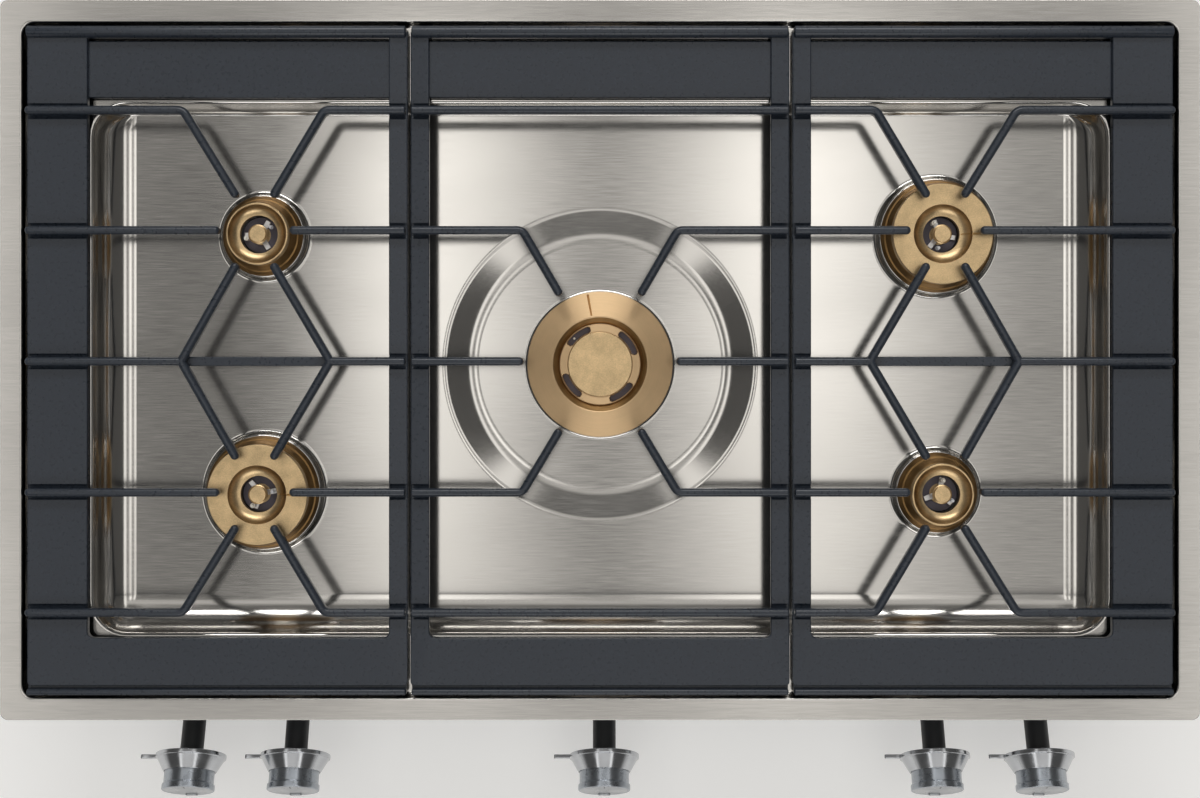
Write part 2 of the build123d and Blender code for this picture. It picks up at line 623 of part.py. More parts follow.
def base_outline(size, foot_z, top_z):
    """Half section of a turned base: foot, stepped cone with a groove, slotted crown, bore."""
    crown_z = top_z - CROWN_HEIGHT
    crown_r = min(size.ring_r, size.skirt_r) - CROWN_INSET
    cone_r = crown_r + CROWN_STEP
    groove_r = (size.skirt_r + cone_r) / 2
    groove_z = (foot_z + crown_z) / 2
    return [
        (size.bore_r, foot_z), (size.skirt_r, foot_z), (size.skirt_r, foot_z + BASE_FOOT),
        (groove_r + GROOVE_DEPTH * 0.8, groove_z - GROOVE_DEPTH),
        (groove_r - GROOVE_DEPTH, groove_z - GROOVE_DEPTH / 2),
        (groove_r - GROOVE_DEPTH / 3, groove_z + GROOVE_DEPTH),
        (cone_r, crown_z - CROWN_STEP / 2), (cone_r - CROWN_STEP / 2, crown_z), (crown_r, crown_z),
        (crown_r, top_z), (size.bore_r, top_z),
    ]


with BuildPart() as burner_bases:
    for size, x, y, collar_top, _, _ in BURNERS:
        top_z = wok_ring_bottom if size is WOK else ring_bottom
        outline = base_outline(size, collar_top, top_z)
        turned(x, y, *outline)
        crown_r = outline[-2][0]
        with BuildSketch(Plane.XY.offset(top_z)):
            with Locations((x, y)):
                with PolarLocations((crown_r + size.bore_r) / 2, size.ports):
                    Rectangle(crown_r - size.bore_r + 2 * EMBED, PORT_WIDTH)
        extrude(amount=-PORT_DEPTH, mode=Mode.SUBTRACT)
burner_bases.part.label = "burner_bases"
export_step(burner_bases.part, "parts/burner_bases.step")


def cut_slit(x, y, angle, inner, outer):
    """Cuts the fine radial groove into a ring's top between two (radius, height) points of its surface."""
    out = (cos(radians(angle)), sin(radians(angle)), 0)
    with BuildSketch(Plane(origin=(x, y, 0), x_dir=out, z_dir=(out[1], -out[0], 0))) as slit:
        with BuildLine():
            Polyline(
                (inner[0], inner[1] - SLIT_DEPTH), (outer[0], outer[1] - SLIT_DEPTH),
                (outer[0], outer[1] + EMBED), (inner[0], inner[1] + EMBED), close=True,
            )
        make_face()
    extrude(slit.sketch, amount=SLIT_WIDTH / 2, both=True, mode=Mode.SUBTRACT)


RING_NAMES = ["rear_left", "front_left", "wok", "front_right", "rear_right"]
for name, (size, x, y, _, _, _) in zip(RING_NAMES, BURNERS):
    with BuildPart() as burner_ring:
        spigot_r = size.bore_r - SEAT_GAP
        if size is WOK:
            edge_z = RING_TOP - WOK_RING_EDGE_DROP
            turned(
                x, y,
                (size.bowl_r, wok_ring_bottom - SPIGOT_LENGTH), (spigot_r, wok_ring_bottom - SPIGOT_LENGTH),
                (spigot_r, wok_ring_bottom), (size.skirt_r - BASE_FOOT, wok_ring_bottom),
                (size.skirt_r - BASE_FOOT, edge_z - 1.5 * WOK_RIM_HEIGHT),
                (size.ring_r - RING_CHAMFER, edge_z - WOK_RIM_HEIGHT),
                (size.ring_r, edge_z - WOK_RIM_HEIGHT + RING_CHAMFER), (size.ring_r, edge_z - RING_CHAMFER),
                (size.ring_r - RING_CHAMFER, edge_z),
                (size.land_r + RING_CHAMFER, RING_TOP), (size.land_r, RING_TOP - RING_CHAMFER / 2),
                (size.bowl_r + RING_CHAMFER, RING_TOP - WOK_GROOVE_DROP),
                (size.bowl_r, RING_TOP - WOK_GROOVE_DROP - RING_CHAMFER),
            )
            cut_slit(
                x, y, WOK_SLIT_ANGLE,
                (size.land_r + RING_CHAMFER, RING_TOP), (size.ring_r - RING_CHAMFER, edge_z),
            )
        else:
            with BuildSketch(upright_plane(x, y)):
                with BuildLine():
                    Polyline(
                        (size.bowl_r, RING_TOP - BOWL_DEPTH),
                        (size.bowl_r, ring_bottom - SPIGOT_LENGTH), (spigot_r, ring_bottom - SPIGOT_LENGTH),
                        (spigot_r, ring_bottom), (size.ring_r - RING_CHAMFER, ring_bottom),
                        (size.ring_r, ring_bottom + RING_CHAMFER), (size.ring_r, RING_TOP - RING_CHAMFER),
                        (size.ring_r - RING_CHAMFER, RING_TOP), (size.land_r, RING_TOP),
                    )
                    SagittaArc((size.land_r, RING_TOP), (size.bowl_r, RING_TOP - BOWL_DEPTH), BOWL_SAG)
                make_face()
            revolve(axis=Axis((x, y, 0), (0, 0, 1)))
            if size is LARGE:
                cut_slit(x, y, 0, (size.bowl_r, RING_TOP), (size.land_r + SLIT_REACH, RING_TOP))
    burner_ring.part.label = f"burner_ring_{name}"
    export_step(burner_ring.part, f"parts/burner_ring_{name}.step")

with BuildPart() as wok_inner_ring:
    inner_top = RING_TOP - WOK_INNER_DROP
    inner_r = WOK.bowl_r - SEAT_GAP
    foot_bore_r = WOK_INNER_FOOT_R - WOK_INNER_FOOT_WALL
    disc_top = WOK_DISC_Z + WOK_DISC_THICKNESS
    turned(
        0, BURNER_Y,
        (foot_bore_r, disc_top), (WOK_INNER_FOOT_R, disc_top),
        (WOK_INNER_FOOT_R, inner_top - WOK_INNER_THICKNESS), (inner_r, inner_top - WOK_INNER_THICKNESS),
        (inner_r, inner_top - RING_CHAMFER), (inner_r - RING_CHAMFER, inner_top),
        (WOK_CAP_R + SEAT_GAP, inner_top), (WOK_CAP_R + SEAT_GAP, inner_top - WOK_CAP_SEAT),
        (foot_bore_r, inner_top - WOK_CAP_SEAT),
    )
    with BuildSketch(Plane.XY.offset(inner_top)):
        with Locations((0, BURNER_Y)):
            with PolarLocations(0, 4, start_angle=45 - WOK_SLOT_ARC / 2):
                SlotArc(CenterArc((0, 0), WOK_SLOT_R, 0, WOK_SLOT_ARC), WOK_SLOT_WIDTH)
    extrude(amount=-WOK_INNER_THICKNESS, mode=Mode.SUBTRACT)
wok_inner_ring.part.label = "wok_inner_ring"
export_step(wok_inner_ring.part, "parts/wok_inner_ring.step")

with BuildPart() as wok_cap:
    cap_bottom = inner_top - WOK_CAP_SEAT
    cap_top = cap_bottom + WOK_CAP_THICKNESS
    turned(
        0, BURNER_Y,
        (0, cap_bottom - WOK_CAP_SPIGOT), (foot_bore_r - SEAT_GAP, cap_bottom - WOK_CAP_SPIGOT),
        (foot_bore_r - SEAT_GAP, cap_bottom), (WOK_CAP_R, cap_bottom),
        (WOK_CAP_R, cap_top - RING_CHAMFER), (WOK_CAP_R - RING_CHAMFER, cap_top), (0, cap_top),
    )
wok_cap.part.label = "wok_cap"
export_step(wok_cap.part, "parts/wok_cap.step")

with BuildPart() as burner_cups:
    for size, x, y, collar_top, _, _ in BURNERS:
        underside = collar_top - SHEET
        tube_r = size.bore_r - SEAT_GAP
        flange_r = size.skirt_r - CUP_FLANGE_INSET
        body_r = flange_r - CUP_FLANGE_INSET
        post_outline = [(POST_R, CUP_BOTTOM_Z + CUP_WALL), (POST_R, POST_TOP), (POST_BORE_R, POST_TOP)]
        if size is WOK:
            disc_r = WOK.bowl_r - SEAT_GAP
            post_outline = [
                (POST_R, CUP_BOTTOM_Z + CUP_WALL), (POST_R, WOK_DISC_Z), (disc_r, WOK_DISC_Z),
                (disc_r, disc_top), (POST_BORE_R, disc_top),
            ]
        turned(
            x, y,
            (INJECTOR_R + SEAT_GAP, INJECTOR_Z), (HOLDER_R, INJECTOR_Z), (HOLDER_R, CUP_BOTTOM_Z),
            (body_r, CUP_BOTTOM_Z), (body_r, underside - CUP_WALL), (flange_r, underside - CUP_WALL),
            (flange_r, underside), (tube_r, underside), (tube_r, collar_top + CUP_TOP_SPIGOT),
            (tube_r - CUP_WALL, collar_top + CUP_TOP_SPIGOT), (tube_r - CUP_WALL, underside - CUP_WALL),
            (body_r - CUP_WALL, underside - 2 * CUP_WALL), (body_r - CUP_WALL, CUP_BOTTOM_Z + CUP_WALL),
            *post_outline,
            (POST_BORE_R, CUP_BOTTOM_Z - CUP_WALL / 2), (INJECTOR_R + SEAT_GAP, CUP_BOTTOM_Z - CUP_WALL / 2),
        )
burner_cups.part.label = "burner_cups"
export_step(burner_cups.part, "parts/burner_cups.step")

with BuildPart() as injectors:
    for size, x, y, _, _, _ in BURNERS:
        turned(
            x, y,
            (INJECTOR_BORE_R, INJECTOR_Z), (INJECTOR_R, INJECTOR_Z),
            (INJECTOR_R, CUP_BOTTOM_Z - CUP_WALL / 2),
            (INJECTOR_R / 2, CUP_BOTTOM_Z - CUP_WALL / 2), (INJECTOR_TIP_R, CUP_BOTTOM_Z + INJECTOR_TIP),
            (INJECTOR_BORE_R, CUP_BOTTOM_Z + INJECTOR_TIP),
        )
injectors.part.label = "injectors"
export_step(injectors.part, "parts/injectors.step")

hub_burners = [burner for burner in BURNERS if burner[0] is not WOK]
spider_z = POST_TOP + SPIDER_SEAT
with BuildPart() as burner_hubs:
    for size, x, y, _, _, _ in hub_burners:
        shank_r, brim_z = POST_BORE_R - SEAT_GAP, HUB_TOP - HUB_HEIGHT
        turned(
            x, y,
            (0, POST_TOP - HUB_SHANK), (shank_r, POST_TOP - HUB_SHANK), (shank_r, POST_TOP),
            (POST_R, POST_TOP), (POST_R, spider_z), (HUB_STEM_R, spider_z),
            (HUB_STEM_R, brim_z - HUB_BRIM), (HUB_R + HUB_BRIM, brim_z - HUB_BRIM / 2),
            (HUB_R + HUB_BRIM, brim_z + HUB_BRIM / 2), (HUB_R, brim_z + HUB_BRIM),
            (HUB_R, HUB_TOP - RING_CHAMFER), (HUB_R - RING_CHAMFER, HUB_TOP), (0, HUB_TOP),
        )
burner_hubs.part.label = "burner_hubs"
export_step(burner_hubs.part, "parts/burner_hubs.step")

with BuildPart() as flame_spiders:
    for size, x, y, _, electrode_angle, sensor_angle in hub_burners:
        spider_r = size.bowl_r - 2 * SEAT_GAP
        with BuildSketch(Plane.XY.offset(spider_z)):
            with Locations((x, y)):
                Circle(spider_r)
                Circle(HUB_STEM_R + SEAT_GAP, mode=Mode.SUBTRACT)
                with PolarLocations(0, 3, start_angle=electrode_angle + 40):
                    SlotArc(
                        CenterArc((0, 0), PROBE_R, 0, SPIDER_SLOT_ARC), SPIDER_SLOT_WIDTH, mode=Mode.SUBTRACT
                    )
                for angle, probe_r in ((electrode_angle, ELECTRODE_R), (sensor_angle, SENSOR_R)):
                    with PolarLocations(PROBE_R, 1, start_angle=angle):
                        Circle(probe_r + SEAT_GAP, mode=Mode.SUBTRACT)
        extrude(amount=SPIDER_THICKNESS)
flame_spiders.part.label = "flame_spiders"
export_step(flame_spiders.part, "parts/flame_spiders.step")


def probes(radius, top, tip_r, tip_length, kind):
    """Upright round rods with thinner tips, one in each burner, standing on the cups' bottoms."""
    for size, x, y, _, electrode_angle, sensor_angle in BURNERS:
        probe_r = WOK_SLOT_R if size is WOK else PROBE_R
        foot_z = disc_top if size is WOK else CUP_BOTTOM_Z + CUP_WALL
        angle = radians(electrode_angle if kind == "electrode" else sensor_angle)
        turned(
            x + probe_r * cos(angle), y + probe_r * sin(angle),
            (0, foot_z), (radius, foot_z), (radius, top - tip_length), (tip_r, top - tip_length),
            (tip_r, top), (0, top),
        )


with BuildPart() as electrodes:
    probes(ELECTRODE_R, ELECTRODE_TOP, ELECTRODE_TIP_R, ELECTRODE_TIP, "electrode")
electrodes.part.label = "electrodes"
export_step(electrodes.part, "parts/electrodes.step")

with BuildPart() as flame_sensors:
    probes(SENSOR_R, SENSOR_TOP, SENSOR_TIP_R, SENSOR_TIP, "sensor")
flame_sensors.part.label = "flame_sensors"
export_step(flame_sensors.part, "parts/flame_sensors.step")

# ================================================================== housing
# Four folded channels, open inwards, with a fine seam between them at the corners.
housing_top = LEDGE_Z - SHEET
flange_places = (HOUSING_BOTTOM, housing_top - HOUSING_SHEET)
long_flange = HOUSING_LENGTH - 2 * HOUSING_SHEET - 2 * HOUSING_SEAM
end_wall = HOUSING_WIDTH - 2 * HOUSING_SHEET - 2 * HOUSING_SEAM
end_flange = HOUSING_WIDTH - 2 * HOUSING_FLANGE - 2 * HOUSING_SEAM
corner_low = (Align.CENTER, Align.CENTER, Align.MIN)
with BuildPart() as housing:
    for side in (1, -1):
        with Locations((0, side * (HOUSING_WIDTH - HOUSING_SHEET) / 2, HOUSING_BOTTOM)):
            Box(HOUSING_LENGTH, HOUSING_SHEET, housing_top - HOUSING_BOTTOM, align=corner_low)
        with Locations((side * (HOUSING_LENGTH - HOUSING_SHEET) / 2, 0, HOUSING_BOTTOM)):
            Box(HOUSING_SHEET, end_wall, housing_top - HOUSING_BOTTOM, align=corner_low)
        for z in flange_places:
            with Locations((0, side * (HOUSING_WIDTH - HOUSING_FLANGE) / 2, z)):
                Box(long_flange, HOUSING_FLANGE, HOUSING_SHEET, align=corner_low)
            with Locations((side * (HOUSING_LENGTH - HOUSING_FLANGE) / 2, 0, z)):
                Box(HOUSING_FLANGE, end_flange, HOUSING_SHEET, align=corner_low)
    for x in KNOB_X:
        with BuildSketch(knob_plane(x, TAP_FRONT)):
            Circle(SLEEVE_R + SEAT_GAP)
        extrude(amount=TAP_FRONT / 2, mode=Mode.SUBTRACT)
    with BuildSketch(Plane.XZ.offset(-wall_rear_y)):
        with Locations((RAIL_RIGHT_X, rail_z)):
            Circle(INLET_NECK_R + SEAT_GAP)
        with Locations((TERMINAL_X, GLAND_Z)):
            Circle(GLAND_R + SEAT_GAP)
    extrude(amount=2 * HOUSING_SHEET, both=True, mode=Mode.SUBTRACT)
    for x, side in BRACKET_PLACES:
        with BuildSketch(Plane.XZ.offset(-side * wall_rear_y)):
            with Locations((x, BRACKET_TOP - BRACKET_SCREW_DROP)):
                Circle(BRACKET_SCREW_R + RUN_FIT)
        extrude(amount=2 * HOUSING_SHEET, both=True, mode=Mode.SUBTRACT)
    with BuildSketch(Plane.XY.offset(HOUSING_BOTTOM)):
        with Locations(COVER_SCREW_PLACES):
            Circle(COVER_SCREW_R + RUN_FIT)
    extrude(amount=HOUSING_SHEET, mode=Mode.SUBTRACT)
housing.part.label = "housing"
export_step(housing.part, "parts/housing.step")

cover_bottom = HOUSING_BOTTOM - COVER_SHEET
with BuildPart() as bottom_cover:
    with BuildSketch(Plane.XY.offset(cover_bottom)):
        RectangleRounded(HOUSING_LENGTH, HOUSING_WIDTH, COVER_CORNER_R)
        with GridLocations(VENT_PITCH_X, VENT_PITCH_Y, VENT_COLUMNS, VENT_ROWS):
            SlotOverall(VENT_LENGTH, VENT_WIDTH, mode=Mode.SUBTRACT)
    extrude(amount=COVER_SHEET)
    for x, y in COVER_SCREW_PLACES:
        turned(
            x, y,
            (0, cover_bottom), (COVER_SCREW_HEAD_R + RUN_FIT, cover_bottom),
            (COVER_SCREW_R + RUN_FIT, cover_bottom + COVER_SCREW_HEAD),
            (COVER_SCREW_R + RUN_FIT, HOUSING_BOTTOM), (0, HOUSING_BOTTOM),
            mode=Mode.SUBTRACT,
        )
bottom_cover.part.label = "bottom_cover"
export_step(bottom_cover.part, "parts/bottom_cover.step")

with BuildPart() as cover_screws:
    for x, y in COVER_SCREW_PLACES:
        turned(
            x, y,
            (0, cover_bottom), (COVER_SCREW_HEAD_R, cover_bottom),
            (COVER_SCREW_R, cover_bottom + COVER_SCREW_HEAD),
            (COVER_SCREW_R, cover_bottom + COVER_SCREW_LENGTH), (0, cover_bottom + COVER_SCREW_LENGTH),
        )
cover_screws.part.label = "cover_screws"
export_step(cover_screws.part, "parts/cover_screws.step")

# Clamps that pull the frame down on the worktop from below, screwed to the housing's long walls.
clamp_screw_y = wall_rear_y + BRACKET_REACH - BRACKET_WIDTH / 3
with BuildPart() as clamp_brackets:
    for x, side in BRACKET_PLACES:
        with BuildSketch(Plane.YZ.offset(x)):
            with BuildLine():
                tip_y, web_y = wall_rear_y + BRACKET_REACH, wall_rear_y + BRACKET_SHEET
                Polyline(
                    (side * wall_rear_y, BRACKET_TOP), (side * tip_y, BRACKET_TOP),
                    (side * tip_y, BRACKET_TOP - BRACKET_SHEET), (side * web_y, BRACKET_TOP - BRACKET_SHEET),
                    (side * web_y, BRACKET_TOP - BRACKET_HEIGHT),
                    (side * wall_rear_y, BRACKET_TOP - BRACKET_HEIGHT),
                    close=True,
                )
            make_face()
        extrude(amount=BRACKET_WIDTH / 2, both=True)
        with BuildSketch(Plane.XY.offset(BRACKET_TOP)):
            with Locations((x, side * clamp_screw_y)):
                Circle(CLAMP_SCREW_R + RUN_FIT)
        extrude(amount=-BRACKET_SHEET, mode=Mode.SUBTRACT)
        with BuildSketch(Plane.XZ.offset(-side * wall_rear_y)):
            with Locations((x, BRACKET_TOP - BRACKET_SCREW_DROP)):
                Circle(BRACKET_SCREW_R + RUN_FIT)
        extrude(amount=-side * BRACKET_SHEET, mode=Mode.SUBTRACT)
clamp_brackets.part.label = "clamp_brackets"
export_step(clamp_brackets.part, "parts/clamp_brackets.step")

with BuildPart() as clamp_screws:
    for x, side in BRACKET_PLACES:
        foot = CLAMP_SCREW_TOP - CLAMP_SCREW_LENGTH
        neck, pad = foot + CLAMP_SCREW_HEAD, CLAMP_SCREW_TOP - CLAMP_PAD
        turned(
            x, side * clamp_screw_y,
            (0, foot), (CLAMP_SCREW_HEAD_R, foot), (CLAMP_SCREW_HEAD_R, neck), (CLAMP_SCREW_R, neck),
            (CLAMP_SCREW_R, pad), (CLAMP_PAD_R, pad), (CLAMP_PAD_R, CLAMP_SCREW_TOP), (0, CLAMP_SCREW_TOP),
        )
clamp_screws.part.label = "clamp_screws"
export_step(clamp_screws.part, "parts/clamp_screws.step")

with BuildPart() as bracket_screws:
    for x, side in BRACKET_PLACES:
        face_y = side * (wall_rear_y + BRACKET_SHEET)
        middle = (x, face_y, BRACKET_TOP - BRACKET_SCREW_DROP)
        turned_on(
            Axis(middle, (0, side, 0)), Plane(origin=middle, x_dir=(1, 0, 0), z_dir=(0, 0, side)),
            (0, -BRACKET_SCREW_LENGTH), (BRACKET_SCREW_R, -BRACKET_SCREW_LENGTH), (BRACKET_SCREW_R, 0),
            (BRACKET_SCREW_HEAD_R, 0), (BRACKET_SCREW_HEAD_R * 0.9, BRACKET_SCREW_HEAD * 0.7),
            (BRACKET_SCREW_HEAD_R * 0.6, BRACKET_SCREW_HEAD), (0, BRACKET_SCREW_HEAD),
        )
bracket_screws.part.label = "bracket_screws"
export_step(bracket_screws.part, "parts/bracket_screws.step")

# ================================================================== gas way, from the inlet to the injectors
with BuildPart() as gas_rail:
    with BuildLine() as rail_route:
        FilletPolyline(
            (RAIL_LEFT_X, rail_y, rail_z), (RAIL_RIGHT_X, rail_y, rail_z),
            (RAIL_RIGHT_X, RAIL_REAR_Y, rail_z), radius=RAIL_BEND_R,
        )
    with BuildSketch(Plane(origin=(RAIL_LEFT_X, rail_y, rail_z), z_dir=(1, 0, 0))):
        Circle(RAIL_R)
    sweep(path=rail_route.wires()[0])
gas_rail.part.label = "gas_rail"
export_step(gas_rail.part, "parts/gas_rail.step")

with BuildPart() as rail_brackets:
    saddle_bottom = HOUSING_BOTTOM + HOUSING_SHEET
    for x in RAIL_BRACKET_X:
        with BuildSketch(Plane.YZ.offset(x)):
            with Locations((rail_y, (saddle_bottom + rail_z) / 2)):
                Rectangle(RAIL_BRACKET_DEPTH, rail_z - saddle_bottom)
            with Locations((rail_y, rail_z)):
                Circle(RAIL_R + PIPE_GAP, mode=Mode.SUBTRACT)
        extrude(amount=RAIL_BRACKET_WIDTH / 2, both=True)
rail_brackets.part.label = "rail_brackets"
export_step(rail_brackets.part, "parts/rail_brackets.step")

with BuildPart() as gas_inlet:
    nut_end = RAIL_REAR_Y + INLET_NUT_LENGTH
    thread_start = wall_rear_y + INLET_COLLAR
    turned_on(
        Axis((RAIL_RIGHT_X, RAIL_REAR_Y, rail_z), (0, 1, 0)),
        Plane(origin=(RAIL_RIGHT_X, 0, rail_z), x_dir=(1, 0, 0), z_dir=(0, 0, 1)),
        (INLET_BORE_R, RAIL_REAR_Y), (INLET_NUT_R, RAIL_REAR_Y), (INLET_NUT_R, nut_end),
        (INLET_NECK_R, nut_end), (INLET_NECK_R, wall_rear_y), (INLET_COLLAR_R, wall_rear_y),
        (INLET_COLLAR_R, thread_start), (INLET_R, thread_start), (INLET_R, thread_start + INLET_THREAD),
        (INLET_BORE_R, thread_start + INLET_THREAD),
    )
gas_inlet.part.label = "gas_inlet"
export_step(gas_inlet.part, "parts/gas_inlet.step")

with BuildPart() as gas_taps:
    for x in KNOB_X:
        with BuildSketch(knob_plane(x, TAP_BACK)):
            Circle(TAP_R)
        extrude(amount=TAP_BACK - TAP_FRONT)
        with Locations((x, rail_y, rail_z + TAP_BLOCK_LIFT)):
            Box(*TAP_BLOCK)
        with BuildSketch(Plane.XZ.offset(-outlet_y)):
            with Locations((x, PIPE_Z)):
                Circle(OUTLET_R)
        extrude(amount=-OUTLET_LENGTH)
        with BuildSketch(Plane(origin=(x, rail_y, rail_z), z_dir=(1, 0, 0))):
            Circle(RAIL_R + PIPE_GAP)
        extrude(amount=TAP_BLOCK[0], both=True, mode=Mode.SUBTRACT)
        with BuildSketch(knob_plane(x, PLUG_BACK + PLUG_PLAY)):
            Circle(PLUG_R + RUN_FIT)
        extrude(amount=PLUG_BACK - PLUG_FRONT + 2 * PLUG_PLAY, mode=Mode.SUBTRACT)
        with BuildSketch(knob_plane(x, PLUG_FRONT)):
            Circle(SPINDLE_R + SEAT_GAP)
        extrude(amount=PLUG_FRONT - TAP_FRONT + EMBED, mode=Mode.SUBTRACT)
gas_taps.part.label = "gas_taps"
export_step(gas_taps.part, "parts/gas_taps.step")

# The taps feed the burners in the same order, from left to right.
with BuildPart() as feed_pipes:
    for tap_x, (_, burner_x, burner_y, _, _, _) in zip(KNOB_X, BURNERS):
        start = (tap_x, outlet_y + OUTLET_LENGTH + PIPE_GAP, PIPE_Z)
        end = (burner_x, burner_y, INJECTOR_Z - PIPE_GAP)
        corner = (burner_x, burner_y, PIPE_Z)
        if abs(burner_x - tap_x) > 2 * PIPE_BEND_R:
            route_points = [start, (tap_x, burner_y, PIPE_Z), corner, end]
        else:
            route_points = [start, corner, end]
        with BuildLine() as pipe_route:
            FilletPolyline(*route_points, radius=PIPE_BEND_R)
        along = Vector(*route_points[1]) - Vector(*start)
        with BuildSketch(Plane(origin=start, z_dir=along)):
            Circle(PIPE_R)
        sweep(path=pipe_route.wires()[0])
feed_pipes.part.label = "feed_pipes"
export_step(feed_pipes.part, "parts/feed_pipes.step")

# ================================================================== electrical parts
with BuildPart() as spark_generator:
    with Locations((*SPARK_BOX_AT, HOUSING_BOTTOM + SPARK_BOX[2] / 2)):
        Box(*SPARK_BOX)
    fillet(spark_generator.edges().filter_by(Axis.Z), SPARK_BOX_ROUND)
    with BuildSketch(Plane.XY.offset(HOUSING_BOTTOM + SPARK_BOX[2])):
        with Locations(SPARK_BOX_AT):
            with GridLocations(SPARK_BOX[0] / 6, 0, 5, 1):
                Circle(SPARK_LEAD_R)
    extrude(amount=SPARK_LEAD_HEIGHT)
spark_generator.part.label = "spark_generator"
export_step(spark_generator.part, "parts/spark_generator.step")

terminal_rear_y = wall_rear_y - HOUSING_SHEET
with BuildPart() as terminal_box:
    with Locations((TERMINAL_X, terminal_rear_y - TERMINAL_BOX[1] / 2, GLAND_Z)):
        Box(*TERMINAL_BOX)
    fillet(terminal_box.edges().filter_by(Axis.Y), TERMINAL_BOX_ROUND)
    fillet(terminal_box.edges().group_by(Axis.Y)[0], TERMINAL_LID_ROUND)
    with BuildSketch(Plane.XZ.offset(-terminal_rear_y)):
        with Locations((TERMINAL_X, GLAND_Z)):
            Circle(GLAND_R + SEAT_GAP)
    extrude(amount=TERMINAL_BOX[1] / 2, mode=Mode.SUBTRACT)
terminal_box.part.label = "terminal_box"
export_step(terminal_box.part, "parts/terminal_box.step")

with BuildPart() as mains_gland:
    gland_front = wall_rear_y - GLAND_LENGTH / 2
    gland_rear = wall_rear_y + GLAND_LENGTH / 2
    turned_on(
        Axis((TERMINAL_X, 0, GLAND_Z), (0, 1, 0)),
        Plane(origin=(TERMINAL_X, 0, GLAND_Z), x_dir=(1, 0, 0), z_dir=(0, 0, 1)),
        (GLAND_BORE_R, gland_front), (GLAND_R, gland_front), (GLAND_R, wall_rear_y),
        (GLAND_NUT_R, wall_rear_y), (GLAND_NUT_R, wall_rear_y + GLAND_NUT_LENGTH),
        (GLAND_R, gland_rear - GLAND_TAPER),
        (GLAND_R - GLAND_TAPER, gland_rear), (GLAND_BORE_R, gland_rear),
    )
mains_gland.part.label = "mains_gland"
export_step(mains_gland.part, "parts/mains_gland.step")


# ================================================================== knobs
def on_knob_axis(x, *points, mode=Mode.ADD):
    """Solid turned on a knob's axis; points are (radius, distance behind the rim's middle)."""
    middle = Vector(x, KNOB_Y, KNOB_Z)
    backwards = Vector(0, tilt_cos, -tilt_sin)
    plane = Plane(origin=middle, x_dir=(1, 0, 0), z_dir=Vector(1, 0, 0).cross(backwards))
    turned_on(Axis(middle, backwards), plane, *points, mode=mode)


rim_back, rim_front = BEZEL_RIM / 2, -BEZEL_RIM / 2
with BuildPart() as knob_bezels:
    for x in KNOB_X:
        on_knob_axis(
            x,
            (SLEEVE_R + RUN_FIT, rim_back), (BEZEL_R - BEZEL_EDGE, rim_back),
            (BEZEL_R, rim_back - BEZEL_EDGE), (BEZEL_R, rim_front + BEZEL_EDGE),
            (BEZEL_R - BEZEL_BEAD, rim_front), (BEZEL_FRONT_R, -BEZEL_LENGTH),
            (KNOB_R + SEAT_GAP, -BEZEL_LENGTH), (KNOB_R + SEAT_GAP, -BEZEL_FLOOR),
            (SLEEVE_R + RUN_FIT, -BEZEL_FLOOR),
        )
        with BuildSketch(knob_plane(x, rim_back)):
            with Locations(((BEZEL_TAB_WIDTH - BEZEL_TAB_LENGTH) / 2 - BEZEL_R, 0)):
                SlotOverall(BEZEL_TAB_LENGTH + BEZEL_TAB_WIDTH, BEZEL_TAB_WIDTH)
        extrude(amount=BEZEL_RIM)
knob_bezels.part.label = "knob_bezels"
export_step(knob_bezels.part, "parts/knob_bezels.step")

collar_r, collar_front = SLEEVE_R + SLEEVE_COLLAR, rim_back + PIPE_GAP
with BuildPart() as bezel_sleeves:
    for x in KNOB_X:
        on_knob_axis(
            x,
            (SLEEVE_BORE_R, -BEZEL_FLOOR), (SLEEVE_R, -BEZEL_FLOOR), (SLEEVE_R, collar_front),
            (collar_r, collar_front), (collar_r, rim_back + SLEEVE_COLLAR),
            (SLEEVE_R, rim_back + SLEEVE_COLLAR), (SLEEVE_R, TAP_FRONT), (SLEEVE_BORE_R, TAP_FRONT),
        )
bezel_sleeves.part.label = "bezel_sleeves"
export_step(bezel_sleeves.part, "parts/bezel_sleeves.step")

